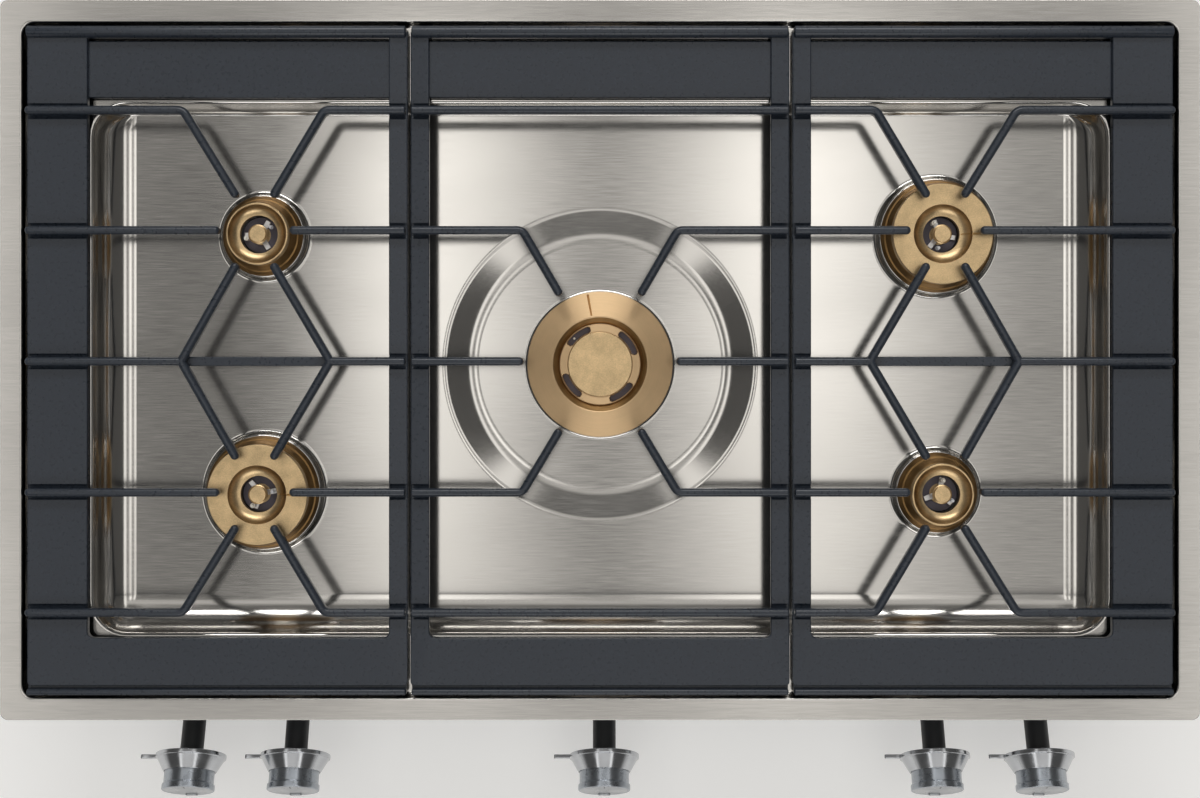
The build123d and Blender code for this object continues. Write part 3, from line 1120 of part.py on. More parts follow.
for number, x in enumerate(KNOB_X, start=1):
    with BuildPart() as tap_plug:
        on_knob_axis(
            x,
            (SPINDLE_R + RUN_FIT, PLUG_FRONT), (PLUG_R, PLUG_FRONT), (PLUG_R, PLUG_BACK), (0, PLUG_BACK),
            (0, SPINDLE_BACK + KNOB_PUSH + SEAT_GAP),
            (SPINDLE_R + RUN_FIT, SPINDLE_BACK + KNOB_PUSH + SEAT_GAP),
        )
    tap_plug.part.label = f"tap_plug_{number}"
    export_step(tap_plug.part, f"parts/tap_plug_{number}.step")

    with BuildPart() as tap_spindle:
        with BuildSketch(knob_plane(x, SPINDLE_BACK)):
            Circle(SPINDLE_R)
        extrude(amount=SPINDLE_BACK + SPINDLE_FRONT)
    tap_spindle.part.label = f"tap_spindle_{number}"
    export_step(tap_spindle.part, f"parts/tap_spindle_{number}.step")

    with BuildPart() as knob:
        on_knob_axis(
            x,
            (SPINDLE_R + RUN_FIT, -KNOB_BACK), (KNOB_R, -KNOB_BACK), (KNOB_R, -KNOB_LIP_START),
            (KNOB_LIP_R - KNOB_LIP_ROUND / 2, -KNOB_LIP_START),
            (KNOB_LIP_R, -KNOB_LIP_START - KNOB_LIP_ROUND),
            (KNOB_LIP_R, -KNOB_FRONT + KNOB_LIP_ROUND), (KNOB_LIP_R - KNOB_LIP_ROUND, -KNOB_FRONT),
            (FACE_R + RUN_FIT, -KNOB_FRONT), (FACE_R + RUN_FIT, -KNOB_FRONT + FACE_THICKNESS),
            (0, -KNOB_FRONT + FACE_THICKNESS), (0, -SPINDLE_FRONT - SEAT_GAP),
            (SPINDLE_R + RUN_FIT, -SPINDLE_FRONT - SEAT_GAP),
        )
    knob.part.label = f"knob_{number}"
    export_step(knob.part, f"parts/knob_{number}.step")

    with BuildPart() as knob_face:
        with BuildSketch(knob_plane(x, -KNOB_FRONT + FACE_THICKNESS)):
            Circle(FACE_R)
        extrude(amount=FACE_THICKNESS)
        with BuildSketch(knob_plane(x, -KNOB_FRONT)):
            with Locations((0, INDEX_OUT - INDEX_LENGTH / 2)):
                Rectangle(INDEX_WIDTH, INDEX_LENGTH)
        extrude(amount=-INDEX_DEPTH, mode=Mode.SUBTRACT)
        with BuildSketch(knob_plane(x, -KNOB_FRONT)):
            with Locations((0, PIP_HEIGHT / 2 - INDEX_OUT)):
                RectangleRounded(PIP_WIDTH, PIP_HEIGHT, PIP_HEIGHT / 2 - RUN_FIT)
        extrude(amount=PIP_PROUD)
    knob_face.part.label = f"knob_face_{number}"
    export_step(knob_face.part, f"parts/knob_face_{number}.step")
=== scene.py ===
"""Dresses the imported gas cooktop: steel basin, enamelled cast supports, brass burners and satin knobs."""
from collections import namedtuple
from functools import cache
from math import cos, pi, radians, sin

import bmesh
import bpy
import numpy as np
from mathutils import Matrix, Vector


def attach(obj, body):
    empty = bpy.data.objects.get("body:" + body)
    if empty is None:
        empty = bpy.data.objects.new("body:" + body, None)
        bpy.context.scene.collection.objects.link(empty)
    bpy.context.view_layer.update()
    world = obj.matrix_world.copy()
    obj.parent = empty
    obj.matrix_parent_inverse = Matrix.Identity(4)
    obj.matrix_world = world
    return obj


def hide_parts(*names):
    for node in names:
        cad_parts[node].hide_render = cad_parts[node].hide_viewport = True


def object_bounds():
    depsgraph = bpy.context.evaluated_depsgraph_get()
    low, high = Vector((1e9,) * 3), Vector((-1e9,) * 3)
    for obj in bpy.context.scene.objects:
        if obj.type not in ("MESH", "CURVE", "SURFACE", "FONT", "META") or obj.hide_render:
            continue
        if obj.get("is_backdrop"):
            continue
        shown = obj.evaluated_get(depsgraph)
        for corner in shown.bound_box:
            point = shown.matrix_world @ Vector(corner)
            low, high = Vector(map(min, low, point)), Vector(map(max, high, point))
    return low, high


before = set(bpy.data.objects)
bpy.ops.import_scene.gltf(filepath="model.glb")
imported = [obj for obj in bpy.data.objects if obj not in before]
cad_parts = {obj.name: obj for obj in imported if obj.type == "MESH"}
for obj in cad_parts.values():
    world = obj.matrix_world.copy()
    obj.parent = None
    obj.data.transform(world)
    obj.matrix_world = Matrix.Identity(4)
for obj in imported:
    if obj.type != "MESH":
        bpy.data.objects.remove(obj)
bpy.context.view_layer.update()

bl_info = {
    "name": "Gas cooktop dressing",
    "version": (1, 0, 0),
    "blender": (4, 5, 0),
    "location": "3D View > Sidebar > Cooktop",
    "description": "Surfaces, finishes and studio stage of a built-in gas cooktop",
    "category": "Object",
}

MM = 0.001                        # shapes below are worked out in millimetres
MERGED_M, DEGENERATE_M = 2e-6, 1e-7   # points closer than this become one, shorter edges are dissolved
TOUCH = 1e-6                      # slack of a comparison between two places, in mm
BURNER_X, BURNER_ROW, BURNER_Y = 261.0, 99.3, -3.2
REAR_Y, FRONT_Y = BURNER_Y + BURNER_ROW, BURNER_Y - BURNER_ROW
KNOB_X = (-320.4, -238.7, 3.3, 262.3, 344.0)
KNOB_Y, KNOB_Z, KNOB_TILT = -310.7, -42.0, radians(24.0)
FRAME_TOP, LEDGE_Z, FLOOR_Z, DISH_Z = 3.0, -8.0, -36.0, -44.0
RING_TOP = -3.5
SIDE_COLLAR_Z, WOK_COLLAR_Z = -28.0, -36.0
# radii: base, ring, bore of the base, hole in the plate
SMALL, MEDIUM, WOK = (31.0, 23.7, 17.5, 22.0), (43.8, 38.2, 29.5, 33.0), (54.0, 55.6, 44.0, 47.0)
Burner = namedtuple("Burner", "x y collar_z base_r ring_r bore_r hole_r")
BURNERS = {
    "rear_left": Burner(-BURNER_X, REAR_Y, SIDE_COLLAR_Z, *SMALL),
    "front_left": Burner(-BURNER_X, FRONT_Y, SIDE_COLLAR_Z, *MEDIUM),
    "wok": Burner(0.0, BURNER_Y, WOK_COLLAR_Z, *WOK),
    "front_right": Burner(BURNER_X, FRONT_Y, SIDE_COLLAR_Z, *SMALL),
    "rear_right": Burner(BURNER_X, REAR_Y, SIDE_COLLAR_Z, *MEDIUM),
}


# ------------------------------------------------------------------ settings a user would change
class CooktopSizes(bpy.types.PropertyGroup):
    sheet: bpy.props.FloatProperty(
        name="Sheet", description="Thickness of the steel sheet in mm", default=1.5, min=0.5, max=3.0)
    rim_round: bpy.props.FloatProperty(
        name="Rim round", description="Rounding of the recess's upper edge in mm",
        default=1.3, min=0.2, max=4.0)
    bar_width: bpy.props.FloatProperty(
        name="Bar width", description="Width of the cast bars in mm", default=6.4, min=4.0, max=12.0)
    bar_top: bpy.props.FloatProperty(
        name="Bar height", description="Top of the cast bars above the worktop in mm", default=11.0)
    cast_round: bpy.props.FloatProperty(
        name="Casting edges", description="Rounding of the cast plates' edges in mm",
        default=1.0, min=0.2, max=2.0)


class CooktopFinishes(bpy.types.PropertyGroup):
    steel: bpy.props.StringProperty(
        name="Steel", description="sRGB colour of the brushed steel", default="#C3C0BB")
    enamel: bpy.props.StringProperty(
        name="Enamel", description="sRGB colour of the cast supports", default="#2B323C")
    brass: bpy.props.StringProperty(
        name="Brass", description="sRGB colour of the brass", default="#CDB288")
    floor: bpy.props.StringProperty(
        name="Floor", description="sRGB colour of the studio floor", default="#EEEDEB")
    steel_roughness: bpy.props.FloatProperty(
        name="Steel roughness", description="Roughness of the brushed sheet",
        default=0.15, min=0, max=1, subtype="FACTOR")
    enamel_roughness: bpy.props.FloatProperty(
        name="Enamel roughness", description="Roughness of the enamel",
        default=0.3, min=0, max=1, subtype="FACTOR")


def chosen_sizes():
    """The sizes that the panel holds now."""
    return bpy.context.scene.cooktop_sizes


def finishes():
    """The colours and roughnesses that the panel holds now."""
    return bpy.context.scene.cooktop_finishes


# ------------------------------------------------------------------ mesh tools
class Shell:
    """Grids of points in mm that together make one mesh; every cell of a grid is a quad."""

    def __init__(self):
        self.points, self.faces, self.uvs, self.slots, self.count = [], [], [], [], 0

    def grid(self, points, uv=None, wrap=False, slot=0):
        """Adds an (m, n, 3) grid; wrap joins its last column to its first.

        UVs are (m, n, 2), or (m, n + 1, 2) when wrapped.
        """
        m, n = points.shape[:2]
        index = np.arange(m * n).reshape(m, n) + self.count
        right = np.roll(index, -1, axis=1)
        faces = np.stack([index[:-1], right[:-1], right[1:], index[1:]], axis=-1)
        if not wrap:
            faces = faces[:, :-1]
        if uv is None:
            along = np.linalg.norm(np.diff(points, axis=0, prepend=points[:1]), axis=-1).mean(1).cumsum() * MM
            across = np.linspace(0, 1, n + wrap)
            uv = np.stack(np.broadcast_arrays(across[None], along[:, None]), axis=-1)
        cells = np.stack([uv[:-1, :-1], uv[:-1, 1:], uv[1:, 1:], uv[1:, :-1]], axis=2)
        self.points.append(points.reshape(-1, 3))
        self.faces.append(faces.reshape(-1, 4))
        self.uvs.append(cells.reshape(-1, 2))
        self.slots.append(np.broadcast_to(slot, faces.shape[:2]).ravel())
        self.count += m * n

    def build(self, name, sharp=None, facing=None):
        """Mesh object: merges equal points, turns the faces outwards, or towards facing on an open sheet."""
        mesh = bpy.data.meshes.new(name)
        points = (np.concatenate(self.points) * MM).tolist()
        mesh.from_pydata(points, [], np.concatenate(self.faces).tolist())
        layer = mesh.uv_layers.new(name="Surface")
        layer.data.foreach_set("uv", np.concatenate(self.uvs).astype(np.float32).ravel())
        mesh.polygons.foreach_set("material_index", np.concatenate(self.slots).astype(np.int32))
        work = bmesh.new()
        work.from_mesh(mesh)
        bmesh.ops.remove_doubles(work, verts=work.verts, dist=MERGED_M)
        bmesh.ops.dissolve_degenerate(work, edges=work.edges, dist=DEGENERATE_M)
        bmesh.ops.recalc_face_normals(work, faces=work.faces)
        work.to_mesh(mesh)
        work.free()
        if facing is not None:
            normals = np.zeros(len(mesh.polygons) * 3, np.float32)
            areas = np.zeros(len(mesh.polygons), np.float32)
            mesh.polygons.foreach_get("normal", normals)
            mesh.polygons.foreach_get("area", areas)
            if (normals.reshape(-1, 3) * areas[:, None]).sum(0) @ np.array(facing) < 0:
                mesh.flip_normals()
        mesh.shade_smooth()
        if sharp:
            mesh.set_sharp_from_angle(angle=radians(sharp))
        piece = bpy.data.objects.new(name, mesh)
        bpy.context.scene.collection.objects.link(piece)
        return piece


def rounded(points, radii, steps=6, guard=0.3):
    """Polyline whose inner corners become arcs: an arc starts radius * tan(turn / 2) before its corner.

    A guard point just outside each arc keeps the shading of the flat beside it flat.
    """
    points = np.asarray(points, float)
    out = [points[:1]]
    for before, corner, after, radius in zip(points[:-2], points[1:-1], points[2:], radii):
        if radius <= 0:
            out.append(corner[None])
            continue
        to_before, to_after = before - corner, after - corner
        reach_before, reach_after = np.linalg.norm(to_before), np.linalg.norm(to_after)
        to_before, to_after = to_before / reach_before, to_after / reach_after
        half_turn = (pi - np.arccos(np.clip(to_before @ to_after, -1, 1))) / 2
        back = radius * np.tan(half_turn)
        bisector = (to_before + to_after) / np.linalg.norm(to_before + to_after)
        centre = corner + bisector * radius / cos(half_turn)
        first, last = corner + to_before * back - centre, corner + to_after * back - centre
        angle = np.arctan2(first[1], first[0])
        sweep = (np.arctan2(last[1], last[0]) - angle + pi) % (2 * pi) - pi
        angles = angle + sweep * np.linspace(0, 1, steps + 1)
        out += [
            (corner + to_before * (back + min(guard, max(reach_before - back, 0) / 3)))[None],
            centre + radius * np.stack([np.cos(angles), np.sin(angles)], -1),
            (corner + to_after * (back + min(guard, max(reach_after - back, 0) / 3)))[None],
        ]
    out.append(points[-1:])
    return np.concatenate(out)


SUNK = 2.0                        # a cell lowered by more than this is the floor or wall of a slot, in mm


def turned(shell, profile, centre, count=96, tilt=0.0, change=None, slot=0):
    """Surface of revolution: x = r cos a, y = r sin a, z = h, leaned forward by tilt and moved to centre.

    change(r, a, h) may move the grid's radii and heights, for slots and notches cut in a turned piece. The
    sunk cells that it makes get the material after the piece's own.
    """
    profile = np.asarray(profile, float)
    angle = np.linspace(0, 2 * pi, count, endpoint=False)
    r = np.repeat(profile[:, :1], count, 1)
    h = np.repeat(profile[:, 1:2], count, 1)
    a = np.broadcast_to(angle, r.shape)
    if change:
        level = h
        r, h = change(r, a, h)
        sunk = h < level - SUNK
        deep = sunk[:-1] & sunk[1:]
        slot = slot + (deep & np.roll(deep, -1, axis=1))
    run = np.concatenate([[0], np.linalg.norm(np.diff(profile, axis=0), axis=1).cumsum()]) * MM
    across = np.linspace(0, 1, count + 1)
    uv = np.stack(np.broadcast_arrays(across[None], run[:, None]), -1)
    points = np.stack([r * np.cos(a), r * np.sin(a), h], -1)
    shell.grid(leaned(points, tilt) + np.asarray(centre, float), uv, wrap=True, slot=slot)


def leaned(points, tilt):
    """Turns points about the x axis: y' = y cos t + z sin t, z' = z cos t - y sin t."""
    x, y, z = np.moveaxis(points, -1, 0)
    return np.stack([x, y * cos(tilt) + z * sin(tilt), z * cos(tilt) - y * sin(tilt)], -1)


def side_positions(low, high, step, *breaks):
    """Positions from low to high about one step apart that also hit every break."""
    stops = [low, *breaks, high]
    runs = [
        np.linspace(a, b, max(int(round((b - a) / step)), 1), endpoint=False)
        for a, b in zip(stops, stops[1:])]
    return np.concatenate([*runs, [high]])


def rect_rings(half_x, half_y, corner, middle_y, z, across=(-1, 1), along=(-1, 1), arc_steps=8):
    """Rounded rectangles, one per height z, as an (m, n, 3) grid of points running anticlockwise.

    A side's points lie at the given shares of its straight run; an arc's at
    corner centre + corner * (cos t, sin t).
    """
    half_x, half_y, corner, middle_y, z = (
        np.atleast_1d(np.asarray(v, float))[:, None]
        for v in np.broadcast_arrays(half_x, half_y, corner, middle_y, z)
    )
    across, along = np.asarray(across, float)[None], np.asarray(along, float)[None]
    turn = np.linspace(0, pi / 2, arc_steps + 1)[None, 1:-1]
    run_x, run_y = half_x - corner, half_y - corner
    c, s = corner * np.cos(turn), corner * np.sin(turn)
    across_one, along_one = np.ones_like(across), np.ones_like(along)
    x = [across * run_x, run_x + s, half_x * along_one, run_x + c,
         (across * run_x)[:, ::-1], -run_x - s, -half_x * along_one, -run_x - c]
    y = [-half_y * across_one, -run_y - c, along * run_y, run_y + s,
         half_y * across_one, run_y + c, (along * run_y)[:, ::-1], -run_y - s]
    x, y = np.concatenate(x, 1), np.concatenate(y, 1) + middle_y
    return np.stack([x, y, np.broadcast_to(z, x.shape)], -1)


# ------------------------------------------------------------------ pressed plate
BASIN_HALF = (387.0, 202.0)       # opening of the basin at the ledge
BASIN_Y, BASIN_DRAFT = -6.5, radians(7.0)
BASIN_FILLET, BASIN_EDGE = 25.0, 3.0
REAR_SQUEEZE = 0.2                # the rear wall and fillet take this share of the room of the others
RECESS_HALF, RECESS_CORNER = (437.5, 255.75), 10.0
PLATE_HALF, PLATE_CORNER = (454.0, 272.5), 6.0
RIM_X, RIM_Y = PLATE_HALF[0] - RECESS_HALF[0], PLATE_HALF[1] - RECESS_HALF[1]   # width of the frame
RECESS_FOOT, RIM_EDGE, RIM_FOLD = 3.0, 0.5, 1.2   # rounding at the ledge, at the rim, and the rim's fold
FLAT_BORDER, LEDGE_FLAT = 2.0, 6.0  # flat sheet before the basin's fillet, and where basin and recess meet
COLLAR_LIP, COLLAR_FOOT = 1.0, 2.5  # a collar's top and foot lie this far outside its burner's base
COLLAR_ROUNDS, DISH_ROUNDS = (1.6, 3.5), (26.0, 12.0)
FLAT_ROUND_COLLAR, FLAT_ROUND_DISH = 14.0, 8.0
DISH_R, DISH_SLOPE = 121.0, 21.0
COLUMN_SPLIT = 140.0              # the floor's patches round the burners meet here
GRAIN_STEP = 7.0                  # spacing of points along the straight sides


def floor_patch(shell, profile, middle, border):
    """Floor from a round hole out to a straight border, both given about the burner's middle.

    Point = middle + profile radius * direction of the border's point, then straight on to the border itself.
    """
    spoke = border - np.asarray(middle, float)
    reach = np.linalg.norm(spoke, axis=1)
    direction = spoke / reach[:, None]
    r, z = np.asarray(profile).T
    circles = np.asarray(middle, float) + r[:, None, None] * direction[None]
    circles = np.concatenate([circles, np.broadcast_to(z[:, None, None], circles.shape[:2] + (1,))], -1)
    share = np.linspace(0, 1, 5)[1:, None, None]
    outer = circles[-1][None, :, :2] * (1 - share) + border[None] * share
    outer = np.concatenate([outer, np.full(outer.shape[:2] + (1,), z[-1])], -1)
    points = np.concatenate([circles, outer])
    shell.grid(points, plan_uv(points), wrap=True)


def plan_uv(points, wrap=True):
    """UV of a sheet seen from above, in metres, so that the brushing runs along X."""
    uv = points[..., :2] * MM
    return np.concatenate([uv, uv[:, :1]], 1) if wrap else uv


def patch_border(xs, ys):
    """The points of a rectangle's four sides, anticlockwise from its first corner."""
    return np.concatenate([
        np.stack([xs[:-1], np.full(len(xs) - 1, ys[0])], -1),
        np.stack([np.full(len(ys) - 1, xs[-1]), ys[:-1]], -1),
        np.stack([xs[:0:-1], np.full(len(xs) - 1, ys[-1])], -1),
        np.stack([np.full(len(ys) - 1, xs[0]), ys[:0:-1]], -1),
    ])


def collar_outline(burner):
    """Section of the floor from a burner's hole over its collar, and through the dish where there is one."""
    foot = FLOOR_Z if burner.x else DISH_Z
    lip_r, foot_r = burner.base_r + COLLAR_LIP, burner.base_r + COLLAR_FOOT
    outline = [(burner.hole_r, burner.collar_z), (lip_r, burner.collar_z), (foot_r, foot)]
    if burner.x:
        return rounded([*outline, (burner.base_r + FLAT_ROUND_COLLAR, foot)], COLLAR_ROUNDS, steps=5)
    outline += [(DISH_R - DISH_SLOPE, DISH_Z), (DISH_R, FLOOR_Z), (DISH_R + FLAT_ROUND_DISH, FLOOR_Z)]
    return rounded(outline, COLLAR_ROUNDS + DISH_ROUNDS, steps=5)


def pressed_sheet():
    """Upper side of the whole pressing: frame, recess, ledge, drafted basin, dish and collars.

    The basin's wall and the frame are rounded rectangles that grow by the section's own offset.
    """
    draft_run = (LEDGE_Z - FLOOR_Z) * np.tan(BASIN_DRAFT)
    fillet_run = BASIN_FILLET * np.tan((pi / 2 - BASIN_DRAFT) / 2)
    opening = draft_run + fillet_run
    floor_rear = BASIN_Y + BASIN_HALF[1] - opening * REAR_SQUEEZE
    floor_front = BASIN_Y - BASIN_HALF[1] + opening
    floor_half = np.array([BASIN_HALF[0] - opening, (floor_rear - floor_front) / 2])
    floor_y = (floor_rear + floor_front) / 2
    patch_half = floor_half - FLAT_BORDER
    across = side_positions(-patch_half[0], patch_half[0], GRAIN_STEP, -COLUMN_SPLIT, COLUMN_SPLIT)
    along = side_positions(-patch_half[1], patch_half[1], GRAIN_STEP, BURNER_Y - floor_y)
    shell = Shell()
    for burner in BURNERS.values():
        xs, ys = across[abs(across) <= COLUMN_SPLIT + TOUCH], along
        if burner.x:
            column, row = np.sign(burner.x), np.sign(burner.y - BURNER_Y)
            xs = across[across * column >= COLUMN_SPLIT - TOUCH]
            ys = along[(along + floor_y - BURNER_Y) * row >= -TOUCH]
        floor_patch(shell, collar_outline(burner), (burner.x, burner.y), patch_border(xs, ys + floor_y))
    wall = rounded(
        [(-FLAT_BORDER, FLOOR_Z), (fillet_run, FLOOR_Z), (opening, LEDGE_Z), (opening + LEDGE_FLAT, LEDGE_Z)],
        [BASIN_FILLET, BASIN_EDGE], steps=7)
    edge = rounded(
        [(-LEDGE_FLAT, LEDGE_Z), (0, LEDGE_Z), (0, FRAME_TOP), (RIM_X, FRAME_TOP),
         (RIM_X, FRAME_TOP - RIM_FOLD)],
        [RECESS_FOOT, chosen_sizes().rim_round, RIM_EDGE], steps=6)
    offset, wall_z = wall.T
    out, edge_z = edge.T
    on_wall = np.clip(offset, 0, opening)
    rear = floor_rear + on_wall * REAR_SQUEEZE + (offset - on_wall)
    front = floor_front - offset
    corner_growth = (PLATE_CORNER - RECESS_CORNER) * (np.clip(out, 0, None) / out[-1])
    half_x = np.concatenate([floor_half[0] + offset, RECESS_HALF[0] + out])
    half_y = np.concatenate([
        (rear - front) / 2, RECESS_HALF[1] + np.where(out > 0, out * RIM_Y / RIM_X, out)])
    corner = np.concatenate([
        np.clip(offset, 0, None), RECESS_CORNER + np.where(out > 0, corner_growth, out)])
    middle = np.concatenate([(rear + front) / 2, np.zeros(len(out))])
    points = rect_rings(
        half_x, half_y, corner, middle, np.concatenate([wall_z, edge_z]),
        across / patch_half[0], along / patch_half[1])
    shell.grid(points, plan_uv(points), wrap=True)
    return shell


# ------------------------------------------------------------------ cast pan supports
GRID_Y = -1.0
INNER_ROW, OUTER_ROW = 98.8, 189.4
GAP_X, GAP = 144.6, 4.0
RAIL_X, CENTRE_X = GAP_X + GAP / 2, GAP_X - GAP / 2   # where the side supports and the middle one end
LAND_NEARER = 0.9                 # the lands reach this much further across the gap than the lips and bars
SUPPORT_OUTER_X = 433.7
SIDE_LAND, RAIL_LAND = 45.7, 13.2
PLATE_TOP, PLATE_BOTTOM = 3.0, -3.0
LAND_SLOPE, SLOPE_LINE = 0.07, (4.9, 14.7)   # its fall, and its width at the apron's front and back
DIP, DIP_HALF, DIP_FADE = 1.1, 6.0, 1.4      # the dip round a bar: depth, half width and soft border
DIP_STATIONS = (4.6, 5.2, 5.6, 6.0, 6.6)     # where the lands have points beside a bar's middle
LAND_STEP = 22.0
INSIDE_CORNER, OUTSIDE_CORNER = 5.0, 3.0
APRON_FRONT_Y, APRON_BACK_Y = -246.5, -210.5
REAR_LIP_Y, FRONT_LIP_Y = 248.3, -251.0
LIP_INSET = 1.2
PANEL_FRONT_Y, PANEL_REAR_Y, PANEL_TOP, PANEL_THICKNESS = 198.9, 242.2, -0.5, 3.5
BAR_BOTTOM, BAR_FOOT, BAR_CHAMFER, BEND_R = 0.5, 5.4, 0.8, 7.0
GAP_END = 0.4                     # a bar's end at a gap is rounded to this share of a half circle
STAR_X = 260.5
OUTER_BEND, GAP_BEND = 54.0, 52.5  # from a star's middle to the bends of its front and rear bars
OUTER_FORK, GAP_FORK = 55.5, 57.0  # and to the forks of its middle bar
TIP_X, TIP_Y, ROW_TIP = 13.3, 24.9, 26.3     # fingertips: beside its middle, off their row, and along it
FORK_BEND_R, FORK_END, WEB_HALF = 4.0, 0.6, 3.5


def cast_bar(
        shell, points, width=None, foot=BAR_FOOT, top=None, bottom=BAR_BOTTOM, ends=(1.0, 1.0), bend=BEND_R):
    """Round-topped bar along a plan path: point = path + across * v + h up, for each (v, h) of its section.

    A rounded end closes it: across * v cos t + forward * |v| sin t * its end value; a value of 0 is flat.
    """
    width, top = width or chosen_sizes().bar_width, top or chosen_sizes().bar_top
    path = rounded(points, [bend] * (len(points) - 2), steps=5, guard=1.0)
    direction = np.gradient(path, axis=0)
    direction[0], direction[-1] = path[1] - path[0], path[-1] - path[-2]
    direction /= np.linalg.norm(direction, axis=1)[:, None]
    across = np.stack([-direction[:, 1], direction[:, 0]], -1)
    shoulder, low = top - width / 2, bottom + BAR_CHAMFER
    arc = np.linspace(0, pi, 13)
    v = np.concatenate([
        [foot / 2 - BAR_CHAMFER, foot / 2], width / 2 * np.cos(arc), [-foot / 2, BAR_CHAMFER - foot / 2]])
    h = np.concatenate([[bottom, low], shoulder + width / 2 * np.sin(arc), [low, bottom]])
    t = np.linspace(0, pi / 2, 7)[1:, None, None]

    def end_rows(middle, side, forward, value):
        if not value:
            return np.broadcast_to(middle, (1, len(v), 2))
        swing = side * v[None, :, None] * np.cos(t)
        return middle + swing + forward * abs(v)[None, :, None] * np.sin(t) * value

    body = path[:, None] + across[:, None] * v[None, :, None]
    first = end_rows(path[0], across[0], -direction[0], ends[0])[::-1]
    last = end_rows(path[-1], across[-1], direction[-1], ends[1])
    plan = np.concatenate([first, body, last])
    height = np.broadcast_to(h[None], plan.shape[:2]).copy()
    for row, value in ((0, ends[0]), (-1, ends[1])):
        if not value:
            height[row] = (bottom + shoulder) / 2
    shell.grid(np.concatenate([plan, height[..., None]], -1), wrap=True)


def slab_grid(low, high, corner=1.0, edge=1.0):
    """Rounded block: rings of a rectangle that grow and rise through its edges, closed at both faces."""
    half_x, half_y = (high[0] - low[0]) / 2, (high[1] - low[1]) / 2
    inset = min(half_x, half_y)
    outline = rounded(
        [(-inset, low[2]), (0, low[2]), (0, high[2]), (-inset, high[2])], [min(edge, 0.4), edge], steps=4)
    grow, z = outline.T
    rings = rect_rings(
        half_x + grow, half_y + grow, np.clip(corner + grow, 0, None), 0, z, arc_steps=4)
    return rings + np.array([(low[0] + high[0]) / 2, (low[1] + high[1]) / 2, 0])


def land_height(x, y, gap_edges, rows):
    """Top of the cast lands: their level, less a slope of 1 in 14 towards a gap, less a dip round each bar.

    The slope starts on a line that runs from the opening's corner to a point near the apron's front end. The
    dip has a flat floor and a border that follows s * s * (3 - 2 s).
    """
    z = np.full(x.shape, PLATE_TOP)
    for edge in gap_edges:
        line = np.interp(y, [APRON_FRONT_Y, APRON_BACK_Y], SLOPE_LINE)
        z -= LAND_SLOPE * np.clip(line - abs(x - edge), 0, None)
    for row in rows:
        near = np.clip((DIP_HALF - abs(y - row)) / DIP_FADE, 0, 1)
        z -= DIP * near * near * (3 - 2 * near)
    return z


